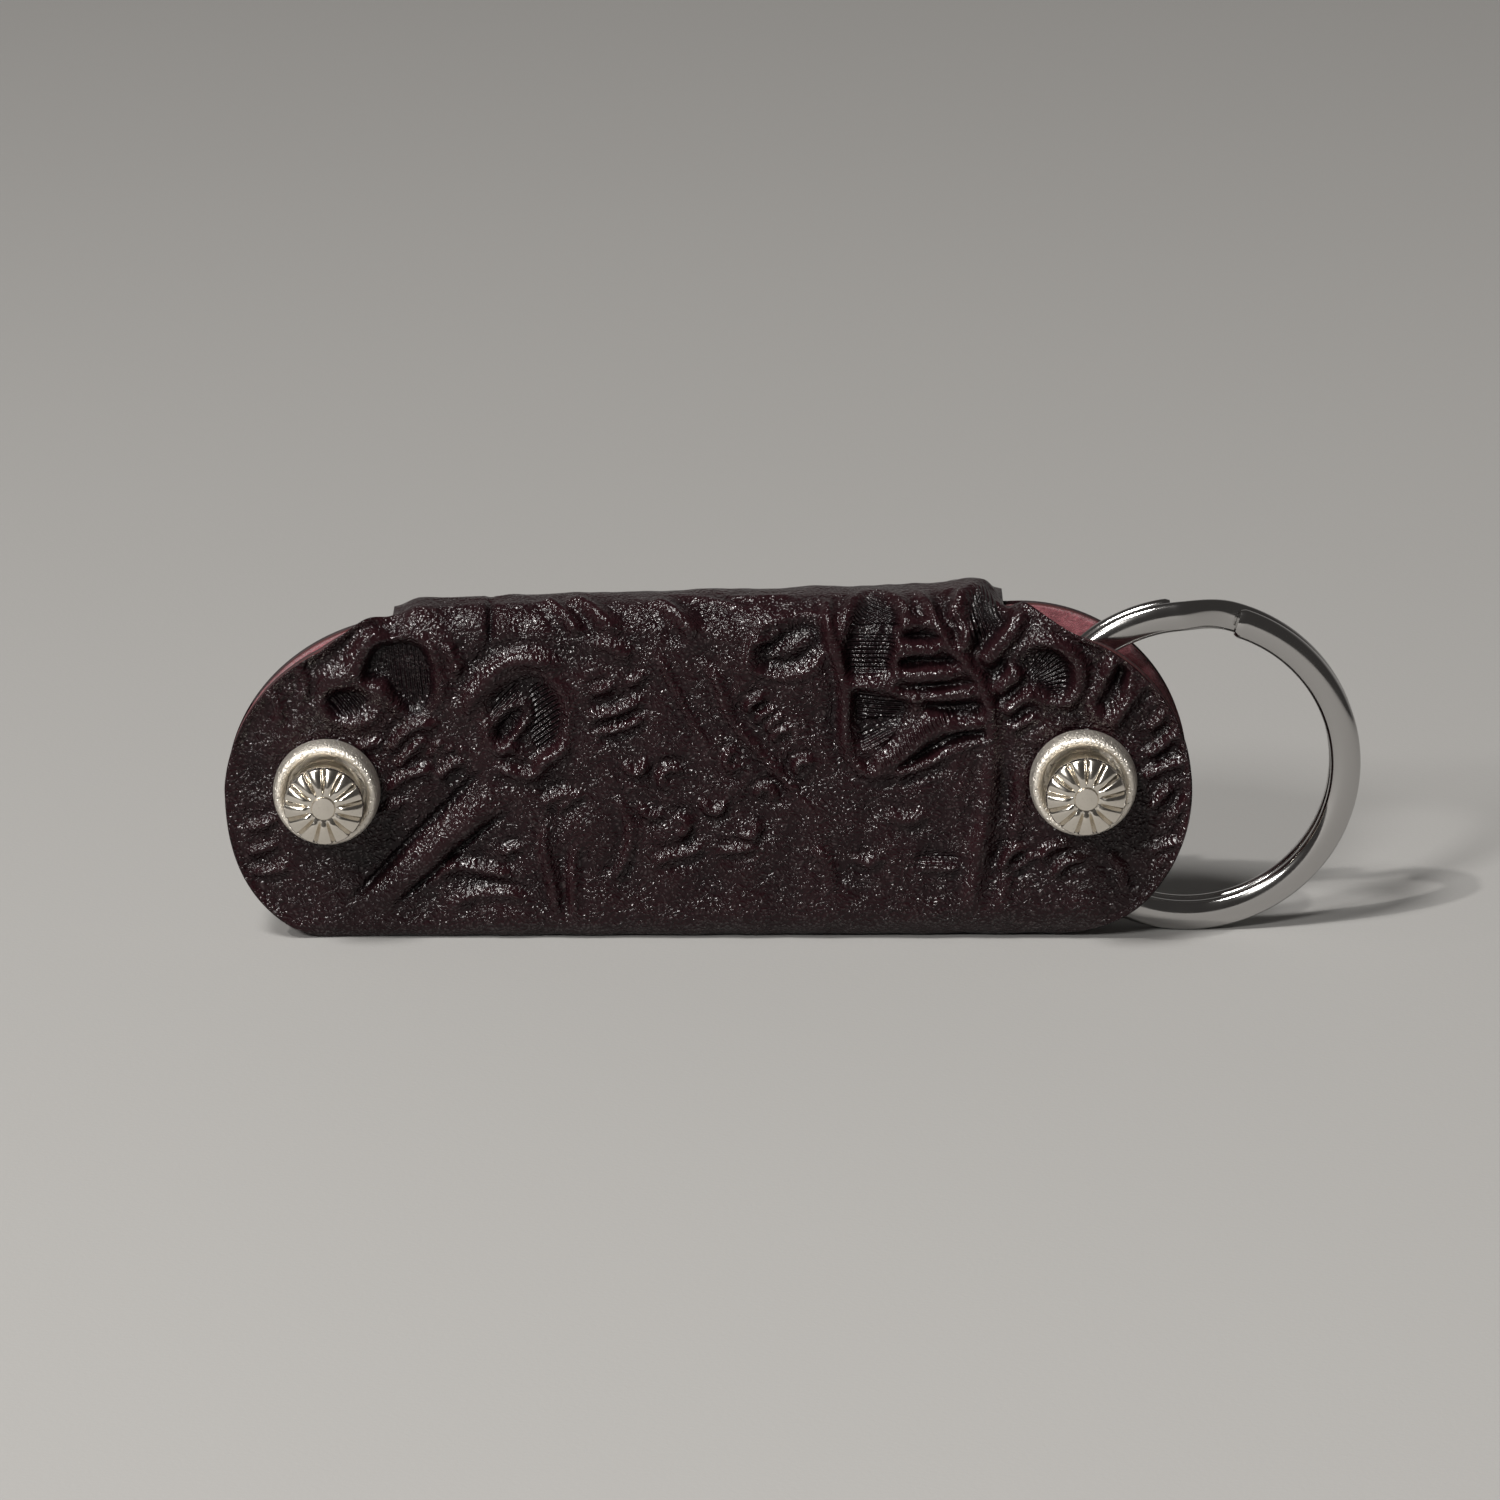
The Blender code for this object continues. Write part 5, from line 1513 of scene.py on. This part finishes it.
def make_ring(material):
    """Two coils of one flat wire, lying close together, with a ramp between them."""
    rise = RING_RADIUS + RING_TABLE_GAP - RIGHT_POST_HEIGHT
    reach = RING_RADIUS - RING_BAND - POST_RADIUS - SEAT_GAP
    centre = (POST_RIGHT + math.sqrt(reach**2 - rise**2), RING_SHIFT, RIGHT_POST_HEIGHT + rise)
    start = RAMP_END - RAMP_END_GAP
    stop = RAMP_START + RAMP_END_GAP - 4 * math.pi
    layer = (RING_WIRE + RING_COIL_SLIT) / 2
    section = ring_section()
    rings = []
    for angle in np.linspace(start, stop, 2 * RING_STEPS):
        along = (RAMP_START - 2 * math.pi - angle) / (RAMP_START - RAMP_END)
        y = mix(-layer, layer, float(ease(along)))
        end = min(start - angle, angle - stop) * RING_RADIUS
        thin = math.sqrt(float(ease(end / RING_END_ROUND) * (1 - RING_END_AREA) + RING_END_AREA))
        out = np.array((math.cos(angle), 0.0, math.sin(angle)))
        loop = []
        for wide, thick in section:
            radius = RING_RADIUS - RING_BAND / 2 + wide * thin
            loop.append(out * radius + np.array((0.0, y + thick * thin, 0.0)))
        rings.append(loop)
    made = grid_mesh("split_ring_polished", rings, material)
    made.location = centre
    return made


# Putting it together


def make_leather():
    front, back = Strip(-1), Strip(1)
    materials = [grain_material(), edge_material(), flesh_material()]
    *grid, coarse_from = front_grid(front)
    sheet = Sheet(front, grid, -1, tooled(True), coarse_from)
    dressed = sheet.object("dressed_front_and_flap", materials)
    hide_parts("leather_wrap", "closure_flap")
    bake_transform(dressed)
    sheet = Sheet(back, back_grid(back), 1, tooled(False))
    dressed = sheet.object("dressed_back", materials)
    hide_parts("leather_wrap")
    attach(dressed, "wrap")


def make_metal():
    satin = nickel_material("satin_nickel_looks", 0.4, 0.52, SATIN_NICKEL, 0.22 * MM, fineness=4600.0)
    bright = nickel_material("polished_nickel_looks", 0.14, 0.24, BRIGHT_NICKEL, 0.006 * MM)
    snap = nickel_material("snap_nickel_looks", 0.16, 0.28, SNAP_NICKEL, 0.01 * MM)
    posts = (("left", POST_LEFT, LEFT_POST_HEIGHT), ("right", POST_RIGHT, RIGHT_POST_HEIGHT))
    for side, x, z in posts:
        for kind, make, body, material, slot in (
            ("bezel", make_bezel, "wrap", satin, "satin_nickel"),
            ("thumb_screw", make_knob, side + "_screw", bright, "polished_nickel"),
            ("post", make_post, "wrap", satin, "satin_nickel"),
        ):
            node = side + "_" + kind
            made = make("turned_" + node, x, z, material)
            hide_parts(node)
            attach(made, body)
    for node, profile in snap_profiles().items():
        made = lathe("turned_" + node, profile, (SNAP_X, 0.0, SNAP_HEIGHT), snap, 96)
        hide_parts(node)
        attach(made, "wrap" if node in ("snap_post", "snap_stud") else "flap")
    ring = make_ring(chrome_material())
    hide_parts("split_ring")
    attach(ring, "ring")


def make_stage():
    """The floor that the holder lies on in the photo."""
    mesh = bmesh.new()
    bmesh.ops.create_grid(mesh, x_segments=1, y_segments=1, size=FLOOR_SIZE / 2)
    data = mesh_data("floor", mesh)
    data.materials.append(paper_material())
    floor = in_scene("floor", data)


def make_world():
    """Floor-coloured backdrop for the camera; for everything else, paper behind and a dark room in front."""
    world = bpy.data.worlds.new("studio")
    bpy.context.scene.world = world
    n = Nodes(world)
    split = n.node("SeparateXYZ", {0: n.node("TexCoord").outputs["Generated"]}).outputs
    behind, below = n.span(split[1], *PAPER_BEHIND), n.span(split[2], *PAPER_BELOW, 1.0, 0.0)
    shade = n.blend(n.maths("MULTIPLY", behind, below), ROOM_DARK, PAPER)
    room = n.node("Background", {0: shade, 1: ROOM_STRENGTH})
    backdrop = n.tree.nodes["Background"]
    backdrop.inputs["Color"].default_value = PAPER
    camera = n.node("LightPath").outputs["Is Camera Ray"]
    either = n.node("MixShader", {0: camera, 1: room, 2: backdrop})
    n.put(n.tree.nodes["World Output"].inputs["Surface"], either)


def lamp(name, place, size, watts):
    """A square lamp that faces the holder."""
    data = bpy.data.lights.new(name, "AREA")
    data.shape = "RECTANGLE"
    data.size, data.size_y = size, size
    data.energy, data.color = watts, LAMP_COLOUR
    made = in_scene(name, data)
    made.location = place
    made.rotation_euler = (Vector(LAMP_AIM) - Vector(place)).to_track_quat("-Z", "Y").to_euler()


def make_light():
    data = bpy.data.lights.new("key", "SUN")
    data.energy, data.angle, data.color = KEY_STRENGTH, KEY_ANGLE, KEY_COLOUR
    key = in_scene("key", data)
    key.rotation_euler = Vector(KEY_TRAVEL).to_track_quat("-Z", "Y").to_euler()
    lamp("softbox", SOFTBOX_PLACE, SOFTBOX_SIZE, SOFTBOX_POWER)
    lamp("front", FRONT_PLACE, FRONT_SIZE, FRONT_POWER)


def make_camera():
    data = bpy.data.cameras.new("camera")
    data.lens, data.sensor_width = CAMERA_LENS, CAMERA_SENSOR
    made = in_scene("camera", data)
    back = Vector((0.0, -math.cos(CAMERA_ELEVATION), math.sin(CAMERA_ELEVATION)))
    made.location = Vector(CAMERA_TARGET) + back * CAMERA_DISTANCE
    level = (-back).to_track_quat("-Z", "Y")
    made.rotation_euler = (level @ Quaternion((0.0, 0.0, 1.0), CAMERA_ROLL)).to_euler()
    bpy.context.scene.camera = made


make_leather()
make_metal()
make_stage()
make_world()
make_light()
make_camera()
bpy.context.scene.view_settings.view_transform = "Standard"
